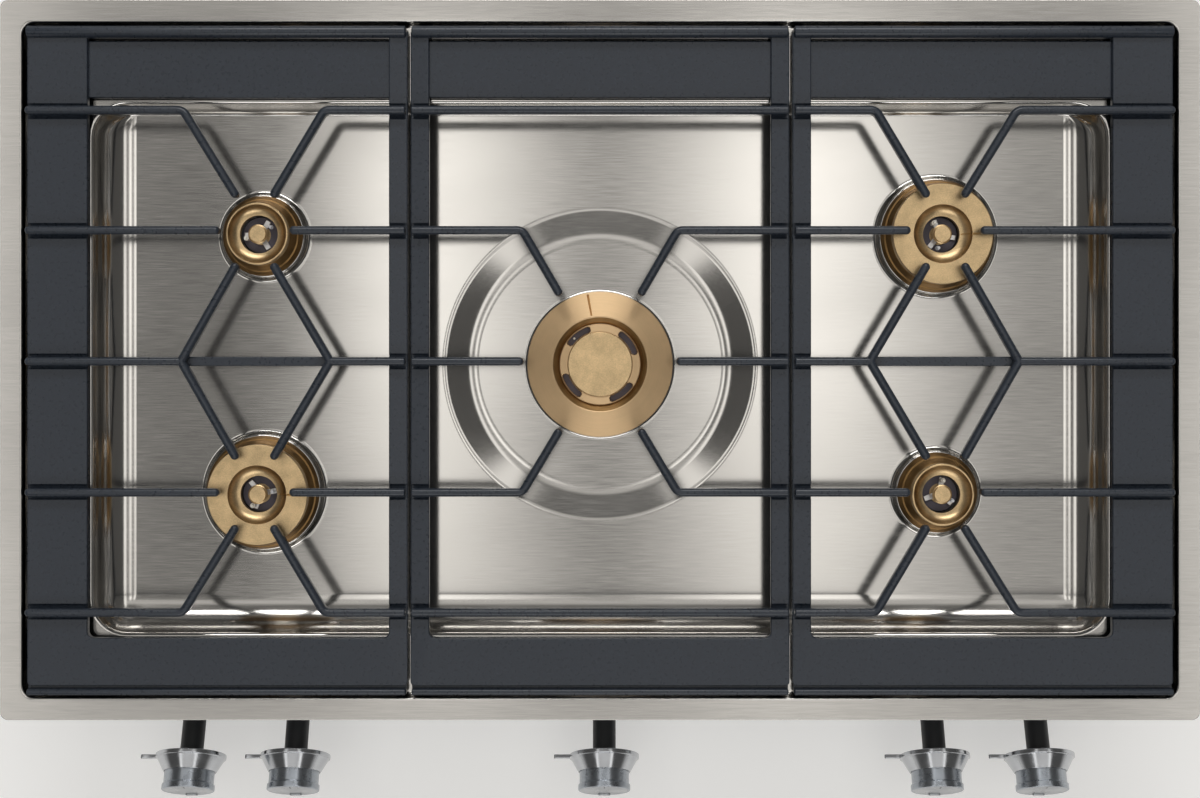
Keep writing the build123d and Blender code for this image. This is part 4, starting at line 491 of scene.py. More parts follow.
def cast_lands(shell, low_x, high_x, low_land, high_land, gap_edges, rows):
    """The U of lands round the opening: a strip whose section runs from the outer edge to the inner one.

    Point = outer * (1 - s) + inner * s in plan, with the edges' rounding measured in mm from both sides.
    """
    edge = chosen_sizes().cast_round
    round_in, round_out = INSIDE_CORNER, OUTSIDE_CORNER
    bend_y = APRON_BACK_Y + round_in
    stations = [REAR_LIP_Y, bend_y, *rows, *np.arange(-200.0, 240.0, LAND_STEP)]
    stations += [row + side * d for row in rows for side in (-1, 1) for d in DIP_STATIONS]
    side_y = np.unique([y for y in stations if bend_y <= y <= REAR_LIP_Y])[::-1]
    turn = np.linspace(0, pi / 2, 9)

    def side_line(x):
        return np.stack([np.full(len(side_y), x), side_y], -1)

    def corner(x_out, x_in, hand):
        """Outer and inner points round one front corner; hand is 1 at the low side and -1 at the high one."""
        inner = np.stack([
            x_in + hand * round_in * (1 - np.cos(turn)), APRON_BACK_Y + round_in * (1 - np.sin(turn))], -1)
        down = np.linspace(bend_y, APRON_FRONT_Y + round_out, 8)
        arc = np.linspace(0, pi / 2, 7)[1:-1]
        arc_x = x_out + hand * round_out * (1 - np.cos(arc))
        arc_y = APRON_FRONT_Y + round_out * (1 - np.sin(arc))
        along = np.linspace(x_out + hand * round_out, x_in + hand * round_in, 8)
        outer = np.concatenate([
            np.stack([np.full(8, x_out), down], -1), np.stack([arc_x, arc_y], -1),
            np.stack([along, np.full(8, APRON_FRONT_Y)], -1)])
        share = np.linspace(0, len(inner) - 1, len(outer))
        inner = np.stack([np.interp(share, np.arange(len(inner)), inner[:, k]) for k in (0, 1)], -1)
        return outer, inner

    low_in, high_in = low_x + low_land, high_x - high_land
    left, right = (side_line(low_x), side_line(low_in)), (side_line(high_x), side_line(high_in))
    left_corner, right_corner = corner(low_x, low_in, 1), corner(high_x, high_in, -1)
    apron_x = np.linspace(low_in + round_in, high_in - round_in, 12)[1:-1]
    apron = tuple(np.stack([apron_x, np.full(10, y)], -1) for y in (APRON_FRONT_Y, APRON_BACK_Y))
    outer, inner = (
        np.concatenate([
            left[k], left_corner[k][1:], apron[k], right_corner[k][::-1], right[k][::-1][1:]])
        for k in (0, 1))
    reach = np.linalg.norm(inner - outer, axis=1)
    bend = np.linspace(0, pi / 2, 5)
    near = np.concatenate([[0, 0], edge * (1 - np.cos(bend)), [edge + 0.4]])
    fall = np.concatenate([[np.inf, edge + 0.5], edge * (1 - np.sin(bend)), [0]])
    middle = np.linspace(0, 1, 12)[1:-1]
    run = np.concatenate([
        np.broadcast_to(near[:, None], (len(near), len(reach))),
        near[-1] + middle[:, None] * (reach - 2 * near[-1])[None],
        reach[None] - near[::-1][:, None]])
    fall = np.concatenate([fall, np.zeros(len(middle)), fall[::-1]])
    plan = outer[None] + (inner - outer)[None] * (run / reach[None])[..., None]
    top = land_height(plan[..., 0], plan[..., 1], gap_edges, rows)
    underside = np.isinf(fall)[:, None]
    z = np.where(underside, PLATE_BOTTOM, top - np.where(underside, 0, fall[:, None]))
    points = np.concatenate([plan, z[..., None]], -1)
    closed = np.concatenate([points, points[:1]])
    ends = np.broadcast_to(closed.mean(0)[[0, -1]][None], (len(closed), 2, 3))
    shell.grid(np.concatenate([ends[:, :1], closed, ends[:, 1:]], 1))


def tip_middle(tip, back_to, width):
    """Middle of a finger's round end whose outermost point is tip."""
    away = np.subtract(back_to, tip)
    return tuple(np.add(tip, away / np.linalg.norm(away) * width / 2))


def support_bars(shell, hand):
    """Bars and fingers of a side support; hand is -1 for the left one and 1 for the right one."""
    width = chosen_sizes().bar_width
    star, half = hand * STAR_X, width / 2
    # per side of the star: way out, where a bar ends, how round its end is, its bend and its fork
    sides = (
        (hand, hand * SUPPORT_OUTER_X, 1.0, OUTER_BEND, OUTER_FORK),
        (-hand, hand * RAIL_X, GAP_END, GAP_BEND, GAP_FORK),
    )
    for side in (1, -1):
        far, near = GRID_Y + side * OUTER_ROW, GRID_Y + side * INNER_ROW
        for way, start, reach, bend, _ in sides:
            edge_x, bend_x = start - way * half * reach, star + way * bend
            tip = tip_middle((star + way * TIP_X, near + side * TIP_Y), (bend_x, far), width)
            cast_bar(shell, [(edge_x, far), (bend_x, far), tip], ends=(reach, 1.0))
            cast_bar(shell, [(edge_x, near), (star + way * (ROW_TIP + half), near)], ends=(reach, 1.0))
    for way, start, reach, _, fork in sides:
        fork_x, tip_x = star + way * fork, star + way * TIP_X
        tips = [
            tip_middle((tip_x, GRID_Y + side * (INNER_ROW - TIP_Y)), (fork_x, GRID_Y), width)
            for side in (1, -1)]
        cast_bar(shell, [tips[0], (fork_x, GRID_Y), tips[1]], bend=FORK_BEND_R)
        cast_bar(shell, [(start - way * half * reach, GRID_Y), (fork_x, GRID_Y)], ends=(reach, FORK_END))
    low_x, high_x = sorted(star + way * fork for way, *_, fork in sides)
    low, high = (low_x, GRID_Y - WEB_HALF, BAR_BOTTOM), (high_x, GRID_Y + WEB_HALF, PLATE_TOP)
    shell.grid(slab_grid(low, high, edge=0.8), wrap=True)


def centre_bars(shell):
    """Bars of the middle support: two through bars and six fingers that point at the wok burner."""
    width = chosen_sizes().bar_width
    start = CENTRE_X - width / 2 * GAP_END
    for side, tip_dy in ((1, 49.6), (-1, 51.0)):
        far, near = GRID_Y + side * OUTER_ROW, GRID_Y + side * INNER_ROW
        cast_bar(shell, [(-start, far), (start, far)], ends=(GAP_END, GAP_END))
        for hand in (1, -1):
            bend = (hand * 58.5, near)
            tip = tip_middle((hand * 29.9, GRID_Y + side * tip_dy), bend, width)
            cast_bar(shell, [(hand * start, near), bend, tip], ends=(GAP_END, 1.0))
    for hand in (1, -1):
        tip = (hand * (57.4 + width / 2), GRID_Y)
        cast_bar(shell, [(hand * start, GRID_Y), tip], ends=(GAP_END, 1.0))


def lips(shell, low_x, high_x):
    """Round front and rear bars and the groove's floor behind the front one."""
    low, high = low_x + LIP_INSET, high_x - LIP_INSET
    front = {"width": 5.0, "foot": 5.0, "top": 6.0, "ends": (0.5, 0.5)}
    rear = {"width": 8.8, "foot": 8.8, "top": 8.0, "ends": (0.3, 0.3)}
    for y, section in ((FRONT_LIP_Y, front), (REAR_LIP_Y, rear)):
        cast_bar(shell, [(low, y), (high, y)], bottom=PLATE_BOTTOM, **section)
    groove = (low_x, FRONT_LIP_Y, PLATE_BOTTOM), (high_x, APRON_FRONT_Y + 2.0, 0.0)
    shell.grid(slab_grid(*groove, edge=0.3), wrap=True)


def one_support(name):
    """All of one support: lands, sunk rear panel, lips and bars."""
    shell = Shell()
    rows = [GRID_Y + d for d in (OUTER_ROW, INNER_ROW, 0, -INNER_ROW, -OUTER_ROW)]
    low, high, low_land, high_land = {
        "left": (-SUPPORT_OUTER_X, -RAIL_X, SIDE_LAND, RAIL_LAND),
        "centre": (-CENTRE_X, CENTRE_X, RAIL_LAND, RAIL_LAND),
        "right": (RAIL_X, SUPPORT_OUTER_X, RAIL_LAND, SIDE_LAND),
    }[name]
    land_low, land_high = (
        x + hand * LAND_NEARER if abs(x) < SUPPORT_OUTER_X else x for x, hand in ((low, -1), (high, 1)))
    gap_edges = [x for x in (land_low, land_high) if abs(x) < SUPPORT_OUTER_X]
    open_low, open_high = low + low_land, high - high_land
    cast_lands(shell, land_low, land_high, open_low - land_low, land_high - high + high_land, gap_edges, rows)
    panel_low = (open_low - 1, PANEL_FRONT_Y, PANEL_TOP - PANEL_THICKNESS)
    panel_high = (open_high + 1, PANEL_REAR_Y, PANEL_TOP)
    shell.grid(slab_grid(panel_low, panel_high), wrap=True)
    lips(shell, low, high)
    if name == "centre":
        centre_bars(shell)
    else:
        support_bars(shell, -1 if name == "left" else 1)
    return shell


# ------------------------------------------------------------------ burners
WOK_RING_DEPTH, SIDE_RING_DEPTH = 18.0, 9.0        # from the rings' top down to their seats
SPIGOT, SPIGOT_PLAY = 4.0, 0.3                     # a ring's spigot in the bore of its base
WOK_CONE_R, WOK_CONE_DROP, WOK_THROAT_R = 36.5, 6.5, 31.2
WOK_GROOVE_R, WOK_GROOVE_DEPTH = 35.75, 5.0        # within these the wok burner's ring is darkened by heat
WOK_SLIT, BOWL_SLIT = (37.5, 54.0), (15.5, 31.4)   # radii between which a crossing slit runs
SLIT_DEPTH, SLIT_EDGE, SLIT_ZONE = 0.8, 0.1, 8.0   # its depth, its end's run, and how far down it may reach
BOWL_DEPTH, BOWL_SAG = 7.3, 1.6
PORTS = {SMALL[0]: 18, MEDIUM[0]: 28, WOK[0]: 36}  # flame ports by the base's radius
PORT_WIDTH, PORT_FLOOR = 1.6, 0.4                  # and the wall that a port leaves round the bore


def notched(count, width, depth, low, high, beyond):
    """Change for turned(): pulls the radius in by depth at count places that are width mm wide.

    It takes only the points between two heights and beyond a radius.
    """
    def change(r, a, h):
        pitch = 2 * pi / count
        off = abs((a + pitch / 2) % pitch - pitch / 2) * r
        inside = (off < width / 2) & (h > low) & (h < high) & (r > beyond)
        return np.where(inside, r - depth, r), h
    return change


def slit(angle, width, near, far):
    """Change for turned(): lowers the top within width mm of one radial line, between two radii."""
    def change(r, a, h):
        off = abs((a - angle + pi) % (2 * pi) - pi) * r
        inside = (off < width / 2) & (r > near) & (r < far) & (h > RING_TOP - SLIT_ZONE)
        return r, np.where(inside, h - SLIT_DEPTH, h)
    return change


def ring_seat(name):
    """Height at which a burner's ring sits on its base."""
    return RING_TOP - (WOK_RING_DEPTH if name == "wok" else SIDE_RING_DEPTH)


def wok_ring_profile(ring, bottom):
    """Closed half section of the wok burner's ring: a cone round a throat, with a spigot below."""
    spigot_r, spigot_z, side_r = ring.bore_r - SPIGOT_PLAY, bottom - SPIGOT, ring.base_r - 2
    near, far = WOK_SLIT
    slit_ends = [
        (r, RING_TOP - WOK_CONE_DROP * (r - WOK_CONE_R) / (ring.ring_r - WOK_CONE_R))
        for r in (far + SLIT_EDGE, far - SLIT_EDGE, near + SLIT_EDGE, near - SLIT_EDGE)]
    edge_z = RING_TOP - WOK_CONE_DROP
    cone = rounded([
        (side_r, edge_z - 3.5), (ring.ring_r, edge_z - 2.0), (ring.ring_r, edge_z), *slit_ends,
        (WOK_CONE_R, RING_TOP), (35.7, RING_TOP - 0.4), (32.0, RING_TOP - 3.5),
        (WOK_THROAT_R, RING_TOP - 4.1)],
        [0.5, 0.7, 0, 0, 0, 0, 0.4, 0.3, 0.4], steps=3, guard=0.2)
    spigot = [(WOK_THROAT_R, spigot_z), (spigot_r, spigot_z), (spigot_r, bottom), (side_r, bottom)]
    return np.concatenate([cone, spigot, cone[:1]])


def side_ring_profile(ring, bottom):
    """Closed half section of a side burner's ring: a flat land round a bowl, with a spigot below.

    The bowl's wall is a chord that bulges by 4 s (1 - s) times its sag, at share s of its length.
    """
    spigot_r, spigot_z = ring.bore_r - SPIGOT_PLAY, bottom - SPIGOT
    land_r, bowl_r = (22.3, 14.5) if ring.base_r == SMALL[0] else (22.4, 14.0)
    share = np.linspace(0, 1, 13)
    land, foot = np.array([land_r, RING_TOP]), np.array([bowl_r, RING_TOP - BOWL_DEPTH])
    chord = land * (1 - share[:, None]) + foot * share[:, None]
    normal = np.array([BOWL_DEPTH, -(land_r - bowl_r)]) / np.hypot(BOWL_DEPTH, land_r - bowl_r)
    bowl = chord + normal * (BOWL_SAG * 4 * share * (1 - share))[:, None]
    far = BOWL_SLIT[1]
    slit_ends = [(r, RING_TOP) for r in (far + SLIT_EDGE, far - SLIT_EDGE) if r < ring.ring_r]
    rim = rounded(
        [(ring.ring_r, bottom + 2), (ring.ring_r, RING_TOP), *slit_ends, (land_r + 0.4, RING_TOP)],
        [0.6] + [0] * len(slit_ends), steps=4, guard=0.3)
    under = [
        (bowl_r, spigot_z), (spigot_r, spigot_z), (spigot_r, bottom), (ring.ring_r - 0.6, bottom),
        (ring.ring_r, bottom + 0.6)]
    return np.concatenate([rim, bowl, under, rim[:1]])


def burner_ring(name):
    """One brass ring; a fine radial slit lets the flame cross on the two medium ones and the wok burner's."""
    ring, shell = BURNERS[name], Shell()
    change, groove = None, False
    if name == "wok":
        profile = wok_ring_profile(ring, ring_seat(name))
        change = slit(radians(100), 0.8, *WOK_SLIT)
        groove = (profile[:-1, :1] < WOK_GROOVE_R) & (profile[:-1, 1:] > RING_TOP - WOK_GROOVE_DEPTH)
    else:
        profile = side_ring_profile(ring, ring_seat(name))
        if ring.base_r == MEDIUM[0]:
            change = slit(0.0, 0.9, *BOWL_SLIT)
    turned(shell, profile, (ring.x, ring.y, 0), 360 if change else 144, change=change, slot=0 + groove)
    return shell


def burner_bases():
    """The five bases: foot, cone with a turned groove, and a crown with the flame ports cut into it."""
    shell = Shell()
    for name, base in BURNERS.items():
        foot, top = base.collar_z, ring_seat(name)
        crown_r, crown_z = min(base.ring_r, base.base_r) - 1.7, top - 2.5
        cone_r = crown_r + 2.0
        groove_r, groove_z = (base.base_r + cone_r) / 2, (foot + crown_z) / 2
        outline = rounded([
            (base.bore_r, foot), (base.base_r, foot), (base.base_r, foot + 2),
            (groove_r + 0.72, groove_z - 0.9), (groove_r - 0.9, groove_z - 0.45),
            (groove_r - 0.3, groove_z + 0.9),
            (cone_r, crown_z - 1.0), (cone_r - 1.0, crown_z), (crown_r, crown_z), (crown_r, top),
            (base.bore_r, top), (base.bore_r, foot),
        ], [0.3, 0.5, 0.3, 0.2, 0.3, 0.3, 0.3, 0.0, 0.2, 0.0], steps=3, guard=0.2)
        ports = PORTS[base.base_r]
        depth = crown_r - base.bore_r - PORT_FLOOR
        change = notched(ports, PORT_WIDTH, depth, crown_z + 0.6, top + 1, crown_r - 1)
        turned(shell, outline, (base.x, base.y, 0), ports * 8, change=change)
    return shell


def wok_inner_ring():
    """Inner flame ring of the wok burner, with four curved slots whose sunk floors are painted dark grey as
    shade.

    A slot is what lies within half its width of a quarter's middle arc, so its ends are round.
    """
    top, inner_r, cap_r = RING_TOP - 1.8, 30.9, 24.9
    shell = Shell()
    slot_near, slot_far, slot_length, slot_depth = 25.6, 30.0, 21.0, 5.5
    slot_r, slot_width = (slot_near + slot_far) / 2, slot_far - slot_near
    section = [
        (17.0, -18.0), (21.0, -18.0), (21.0, top - 7.0), (inner_r, top - 7.0), (inner_r, top - 0.6),
        (inner_r - 0.6, top), (slot_far, top), (slot_near, top), (cap_r, top), (cap_r, top - 1.0),
        (17.0, top - 1.0), (17.0, -18.0)]

    def change(r, a, h):
        along = abs((a + radians(8.0)) % (pi / 2) - pi / 4) * slot_r - (slot_length - slot_width) / 2
        inside = np.hypot(np.clip(along, 0, None), r - slot_r) < slot_width / 2 + 0.05
        return r, np.where(inside & (h > top - 0.1), h - slot_depth, h)

    far = section.index((slot_far, top))
    section[far + 1:far + 1] = [(r, top) for r in np.linspace(slot_far - 0.15, slot_near + 0.15, 9)]
    # the sunk slot floors take the second material, a dark grey that is painted shade
    turned(shell, section, (0, BURNER_Y, 0), 360, change=change)
    return shell


def wok_cap():
    """Flat cap in the middle of the wok burner, with a softly rounded edge."""
    base, stem_r, cap_r = RING_TOP - 2.8, 16.7, 24.6
    shell = Shell()
    outline = rounded(
        [(0, base - 3), (stem_r, base - 3), (stem_r, base), (cap_r, base), (cap_r, base + 2.2),
         (0, base + 2.2)],
        [0.2, 0.2, 0.3, 0.7], steps=4)
    turned(shell, outline, (0, BURNER_Y, 0), 128)
    return shell


def burner_hubs():
    """Small mushroom pins in the middle of the four side burners."""
    shell = Shell()
    outline = rounded(
        [(0, -30.5), (3.9, -30.5), (3.9, -24.5), (7.5, -24.5), (7.5, -20.5), (3.2, -20.5), (3.2, -9.5),
         (7.4, -8.5), (7.4, -7.7), (6.5, -7.2), (6.5, -5.0), (0, -5.0)],
        [0, 0, 0, 0.3, 0.2, 0.4, 0.2, 0.2, 0.2, 0.6], steps=3, guard=0.2)
    for burner in BURNERS.values():
        if burner.x:
            turned(shell, outline, (burner.x, burner.y, 0), 64)
    return shell


TAB_SEAT, TAB_SHEET = -20.5, 1.2
# name: direction of the first tab, in degrees
TAB_ANGLES = {"rear_left": 60.0, "front_left": 10.0, "front_right": 80.0, "rear_right": 110.0}


def flame_tabs():
    """Seat ring painted dark grey as the shade deep in the bowl's hole, and three bright bent tabs round the
    pin of each side burner.
    """
    shell = Shell()
    top, near, far = TAB_SEAT + TAB_SHEET, 7.6, 13.6
    tab = slab_grid((4.2, -2.0, top), (12.4, 2.0, TAB_SEAT + 2.4 * TAB_SHEET), 0.5, 0.3)
    across, along, up = np.moveaxis(tab, -1, 0)
    for name, first in TAB_ANGLES.items():
        x, y = BURNERS[name][:2]
        seat = [(near, TAB_SEAT), (far, TAB_SEAT), (far, top), (near, top), (near, TAB_SEAT)]
        # the seat ring takes the second material, a dark grey painted shade for the bottom of the hole
        turned(shell, seat, (x, y, 0), 64, slot=1)
        for angle in (first, first + 120.0, first + 240.0):
            c, s = cos(radians(angle)), sin(radians(angle))
            shell.grid(np.stack([x + across * c - along * s, y + across * s + along * c, up], -1), wrap=True)
    return shell


# ------------------------------------------------------------------ knobs
FACE_FRONT, DISC_SEAT = 26.3, 25.3   # a knob's face and its disc's seat, ahead of the bezel rim's middle
LEAN = KNOB_TILT - pi / 2         # turns an upright axis to point at the user


def on_knob_axis(shell, x, profile, count=96):
    """Turned surface on a knob's axis; the profile is (radius, distance in front of the rim's middle)."""
    turned(shell, profile, (x, KNOB_Y, KNOB_Z), count, tilt=LEAN)


def block_on_knob(shell, x, low, high, corner, edge, slot=0):
    """Rounded block in a knob's own axes: right, up on its face, and out towards the user."""
    points = leaned(slab_grid(low, high, corner, edge), LEAN) + np.array([x, KNOB_Y, KNOB_Z])
    shell.grid(points, wrap=True, slot=slot)


def knob_bezels():
    """Five cones with a flat rim and a rounded tab at the left, hollow for the knob."""
    shell = Shell()
    bore_r, rim_r, rim = 9.05, 27.3, 1.65
    outline = rounded(
        [(bore_r, -rim), (rim_r, -rim), (rim_r, rim), (26.2, 1.75), (20.4, 12.0), (19.6, 12.0), (19.6, 1.0),
         (bore_r, 1.0), (bore_r, -rim)], [0.5, 0.6, 0.4, 0.25, 0.2, 0.3, 0.2], steps=4)
    for x in KNOB_X:
        on_knob_axis(shell, x, outline, 128)
        block_on_knob(shell, x, (-39.6, -1.6, -1.6), (-25.0, 1.6, 1.6), 1.58, 0.6)
    return shell


def knob(x):
    """Knob: plain barrel with a slightly wider lip, bored for its spindle."""
    shell = Shell()
    spindle_r, barrel_r, lip_r = 4.05, 19.3, 20.3
    on_knob_axis(shell, x, rounded(
        [(0, 17.5), (spindle_r, 17.5), (spindle_r, 5.5), (barrel_r, 5.5), (barrel_r, 21.0), (lip_r, 21.9),
         (lip_r, FACE_FRONT), (18.25, FACE_FRONT), (18.25, DISC_SEAT), (0, DISC_SEAT)],
        [0, 0.2, 0.8, 0.3, 0.5, 0.9, 0.15, 0], steps=5), 128)
    return shell


def knob_face(x):
    """Brushed disc with a black line at twelve o'clock and a low pip at its lower edge."""
    shell = Shell()
    disc_r, sunk_z = 18.2, 25.8
    disc = [(0, DISC_SEAT), (disc_r, DISC_SEAT), (disc_r, FACE_FRONT), (0, FACE_FRONT)]
    on_knob_axis(shell, x, rounded(disc, [0, 0.2], steps=3))
    block_on_knob(shell, x, (-0.4, 10.9, sunk_z), (0.4, 15.5, FACE_FRONT + 0.04), 0.1, 0.02, slot=1)
    block_on_knob(shell, x, (-4.8, -15.5, sunk_z), (4.8, -12.1, FACE_FRONT + 1.2), 1.6, 0.5)
    return shell


def sleeves():
    """Five tubes behind the bezels, each with a collar, down to the taps."""
    shell = Shell()
    bore_r, tube_r, collar_r, end = 6.0, 9.0, 12.0, -71.0
    outline = rounded(
        [(bore_r, 1.0), (tube_r, 1.0), (tube_r, -1.75), (collar_r, -1.75), (collar_r, -4.65), (tube_r, -4.65),
         (tube_r, end), (bore_r, end), (bore_r, 1.0)], [0, 0, 0.4, 0.4, 0.3, 0, 0], steps=3)
    for x in KNOB_X:
        on_knob_axis(shell, x, outline, 64)
    return shell


# ------------------------------------------------------------------ materials
def linear(code, alpha=1.0):
    """Linear colour of an sRGB hex code: v / 12.92 up to 0.04045, else ((v + 0.055) / 1.055) ** 2.4."""
    v = np.array([int(code[i:i + 2], 16) / 255 for i in (1, 3, 5)])
    return (*np.where(v <= 0.04045, v / 12.92, ((v + 0.055) / 1.055) ** 2.4), alpha)


def add(tree, kind, inputs=None, **settings):
    """Adds one node; inputs maps a socket's name or number to a value or to another node's socket."""
    node = tree.nodes.new("ShaderNode" + kind)
    for key, value in settings.items():
        setattr(node, key, value)
    for key, value in (inputs or {}).items():
        if isinstance(value, bpy.types.NodeSocket):
            tree.links.new(value, node.inputs[key])
        else:
            node.inputs[key].default_value = value
    return node


def empty_material(name):
    material = bpy.data.materials.new(name)
    material.use_nodes = True
    material.node_tree.nodes.clear()
    return material, material.node_tree


def shade(tree, colour, roughness, metallic=0.0, height=None, height_mm=0.05, strength=1.0, **fixed):
    """Principled surface: colour and roughness may be sockets; height swings by height_mm in all."""
    inputs = {"Base Color": colour, "Roughness": roughness, "Metallic": metallic}
    if height is not None:
        bump = add(tree, "Bump", {"Strength": strength, "Distance": height_mm * MM, "Height": height})
        inputs["Normal"] = bump.outputs[0]
    inputs.update({key.replace("_", " "): value for key, value in fixed.items()})
    shader = add(tree, "BsdfPrincipled", inputs)
    add(tree, "OutputMaterial", {"Surface": shader.outputs[0]})
    return shader


def pattern(tree, size_mm, detail=2.0, rough=0.5, coordinates="Object"):
    """Noise whose cells are size_mm long along each axis, read from the object's own coordinates."""
    place = add(tree, "TexCoord")
    scale = tuple(1 / (s * MM) for s in (size_mm if np.ndim(size_mm) else (size_mm,) * 3))
    spread = add(tree, "Mapping", {"Vector": place.outputs[coordinates], "Scale": scale})
    noise = add(tree, "TexNoise", {
        "Vector": spread.outputs[0], "Scale": 1.0, "Detail": detail, "Roughness": rough})
    return noise.outputs[0]


def ranged(tree, value, low, high, from_low=0.3, from_high=0.7):
    """Maps a pattern's usual range to a wanted one."""
    return add(tree, "MapRange", {
        "Value": value, "From Min": from_low, "From Max": from_high, "To Min": low, "To Max": high,
    }).outputs[0]


def tinted(tree, code, factor, spread):
    """Colour that is code, darkened or lightened by up to spread as the factor goes from 0 to 1."""
    base = np.array(linear(code)[:3])
    dark, light = base * (1 - spread), np.minimum(base * (1 + spread), 1)
    mix = add(tree, "Mix", {0: factor, 6: (*dark, 1), 7: (*light, 1)}, data_type="RGBA")
    return mix.outputs[2]


@cache
def brushed_stainless_sheet(code, roughness):
    """304 steel sheet, brushed along X: short fine lines, and highlights drawn out across them."""
    material, tree = empty_material("brushed_stainless_sheet")
    # Real lines are about 0.1 mm apart; they are drawn 0.9 mm wide and 22 mm long so that they show.
    lines = pattern(tree, (22.0, 0.9, 0.9), detail=3.0)
    broad = pattern(tree, (160.0, 60.0, 60.0), detail=1.0)
    both = add(tree, "Math", {0: lines, 1: broad}, operation="ADD").outputs[0]
    colour = tinted(tree, code, ranged(tree, both, 0, 1, 0.7, 1.3), 0.07)
    tangent = add(tree, "Tangent", direction_type="UV_MAP", uv_map="Surface").outputs[0]
    uneven = ranged(tree, lines, roughness - 0.02, roughness + 0.02)
    shade(tree, colour, uneven, metallic=1.0, height=lines, height_mm=0.0025, strength=0.5,
          Anisotropic=0.45, Anisotropic_Rotation=0.25, Tangent=tangent)
    return material
    return material


@cache
def enamelled_cast_iron(code, roughness):
    """Grey cast iron under enamel: slightly uneven skin, fine orange peel, tiny pale specks, soft sheen."""
    material, tree = empty_material("enamelled_cast_iron")
    skin = pattern(tree, 3.0, detail=3.0)
    peel = pattern(tree, 0.8, detail=2.0)
    height = add(tree, "Math", {0: skin, 1: peel}, operation="ADD").outputs[0]
    specks = ranged(tree, pattern(tree, 1.4, detail=1.0), 0, 1, 0.60, 0.72)
    mottle = add(tree, "Math", {0: skin, 1: specks}, operation="ADD").outputs[0]
    colour = tinted(tree, code, ranged(tree, mottle, 0, 1, 0.35, 1.3), 0.22)
    uneven = ranged(tree, skin, roughness - 0.05, roughness + 0.06)
    shade(tree, colour, uneven, height=height, height_mm=0.02, strength=0.3, IOR=1.5)
    return material


@cache
def turned_metal(name, code, roughness, groove_mm, swing, spread=0.1, aniso=0.5, depth_mm=0.015):
    """Metal turned on a lathe: rings follow the tool, so they read the UV, u round the piece, v along it."""
    material, tree = empty_material(name)
    place = add(tree, "TexCoord")
    rings = add(tree, "Mapping", {"Vector": place.outputs["UV"], "Scale": (6.0, 1 / (groove_mm * MM), 1.0)})
    tool = add(tree, "TexNoise", {"Vector": rings.outputs[0], "Scale": 1.0, "Detail": 3.0}).outputs[0]
    patina = pattern(tree, 9.0, detail=3.0)
    mixed = add(tree, "Math", {0: tool, 1: patina}, operation="ADD").outputs[0]
    colour = tinted(tree, code, ranged(tree, mixed, 0, 1, 0.7, 1.3), spread)
    tangent = add(tree, "Tangent", direction_type="UV_MAP", uv_map="Surface").outputs[0]
    uneven = ranged(tree, patina, roughness - swing, roughness + swing)
    shade(tree, colour, uneven, metallic=1.0, height=tool, height_mm=depth_mm, strength=0.6,
          Anisotropic=aniso, Anisotropic_Rotation=0.25, Tangent=tangent)
    return material


@cache
def blasted_brass(code, roughness):
    """Brass blasted with fine grit: an even, grainy, matt face with slight darker clouds."""
    material, tree = empty_material("blasted_brass")
    grit = pattern(tree, 0.9, detail=3.0, rough=0.7)      # real grit marks of 0.1 mm, drawn coarser to show
    cloud = pattern(tree, 12.0, detail=2.0)
    mixed = add(tree, "Math", {0: grit, 1: cloud}, operation="ADD").outputs[0]
    colour = tinted(tree, code, ranged(tree, mixed, 0, 1, 0.75, 1.25), 0.22)
    uneven = ranged(tree, cloud, roughness - 0.05, roughness + 0.05)
    shade(tree, colour, uneven, metallic=1.0, height=grit, height_mm=0.05, strength=0.6)
    return material


@cache
def plain_finish(name, code, roughness, metallic, size_mm, depth_mm, spread=0.08):
    """Even finish with slight mottling and a fine skin of the given grain and depth."""
    material, tree = empty_material(name)
    grain = pattern(tree, size_mm, detail=2.0)
    colour = tinted(tree, code, ranged(tree, grain, 0, 1), spread)
    uneven = ranged(tree, grain, roughness - 0.04, roughness + 0.04)
    shade(tree, colour, uneven, metallic, height=grain, height_mm=depth_mm, strength=0.5)
    return material


def galvanised_sheet():
    """Hot-dipped zinc on sheet steel: flat crystals a centimetre across in close greys."""
    material, tree = empty_material("galvanised_sheet")
    place = add(tree, "TexCoord")
    crystal = add(tree, "TexVoronoi", {"Vector": place.outputs["Object"], "Scale": 1 / (9 * MM)})
    colour = tinted(tree, "#B4B8BC", crystal.outputs["Color"], 0.10)
    uneven = ranged(tree, crystal.outputs["Color"], 0.34, 0.5, 0, 1)
    shade(tree, colour, uneven, metallic=1.0, height=pattern(tree, 4.0), height_mm=0.02, strength=0.4)
    return material


# ------------------------------------------------------------------ putting pieces in place
def place(piece, body, slot, nodes, *materials):
    """Gives a finished piece its materials, ties it to its body and hides the solids that it stands for."""
    for material in materials:
        piece.data.materials.append(material)
    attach(piece, body)
    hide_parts(*nodes)
    return piece


def dress(nodes, material):
    """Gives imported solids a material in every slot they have."""
    for name in nodes:
        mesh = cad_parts[name].data
        if not mesh.materials:
            mesh.materials.append(material)
        for index in range(len(mesh.materials)):
            mesh.materials[index] = material


def matt_brass():
    return blasted_brass(finishes().brass, 0.36)


def darkened():
    return turned_metal("heat_darkened_turned_brass", "#8F7048", 0.4, groove_mm=1.1, swing=0.06, spread=0.25,
                        aniso=0.5, depth_mm=0.04)


# dark grey painted shade for the sunk slot floors of the wok burner's inner ring and the seat deep in each
# side burner's hole
def painted_shade_finish():
    return plain_finish("painted_shade_grey", "#57525C", 0.6, metallic=0.0, size_mm=1.5, depth_mm=0.02)


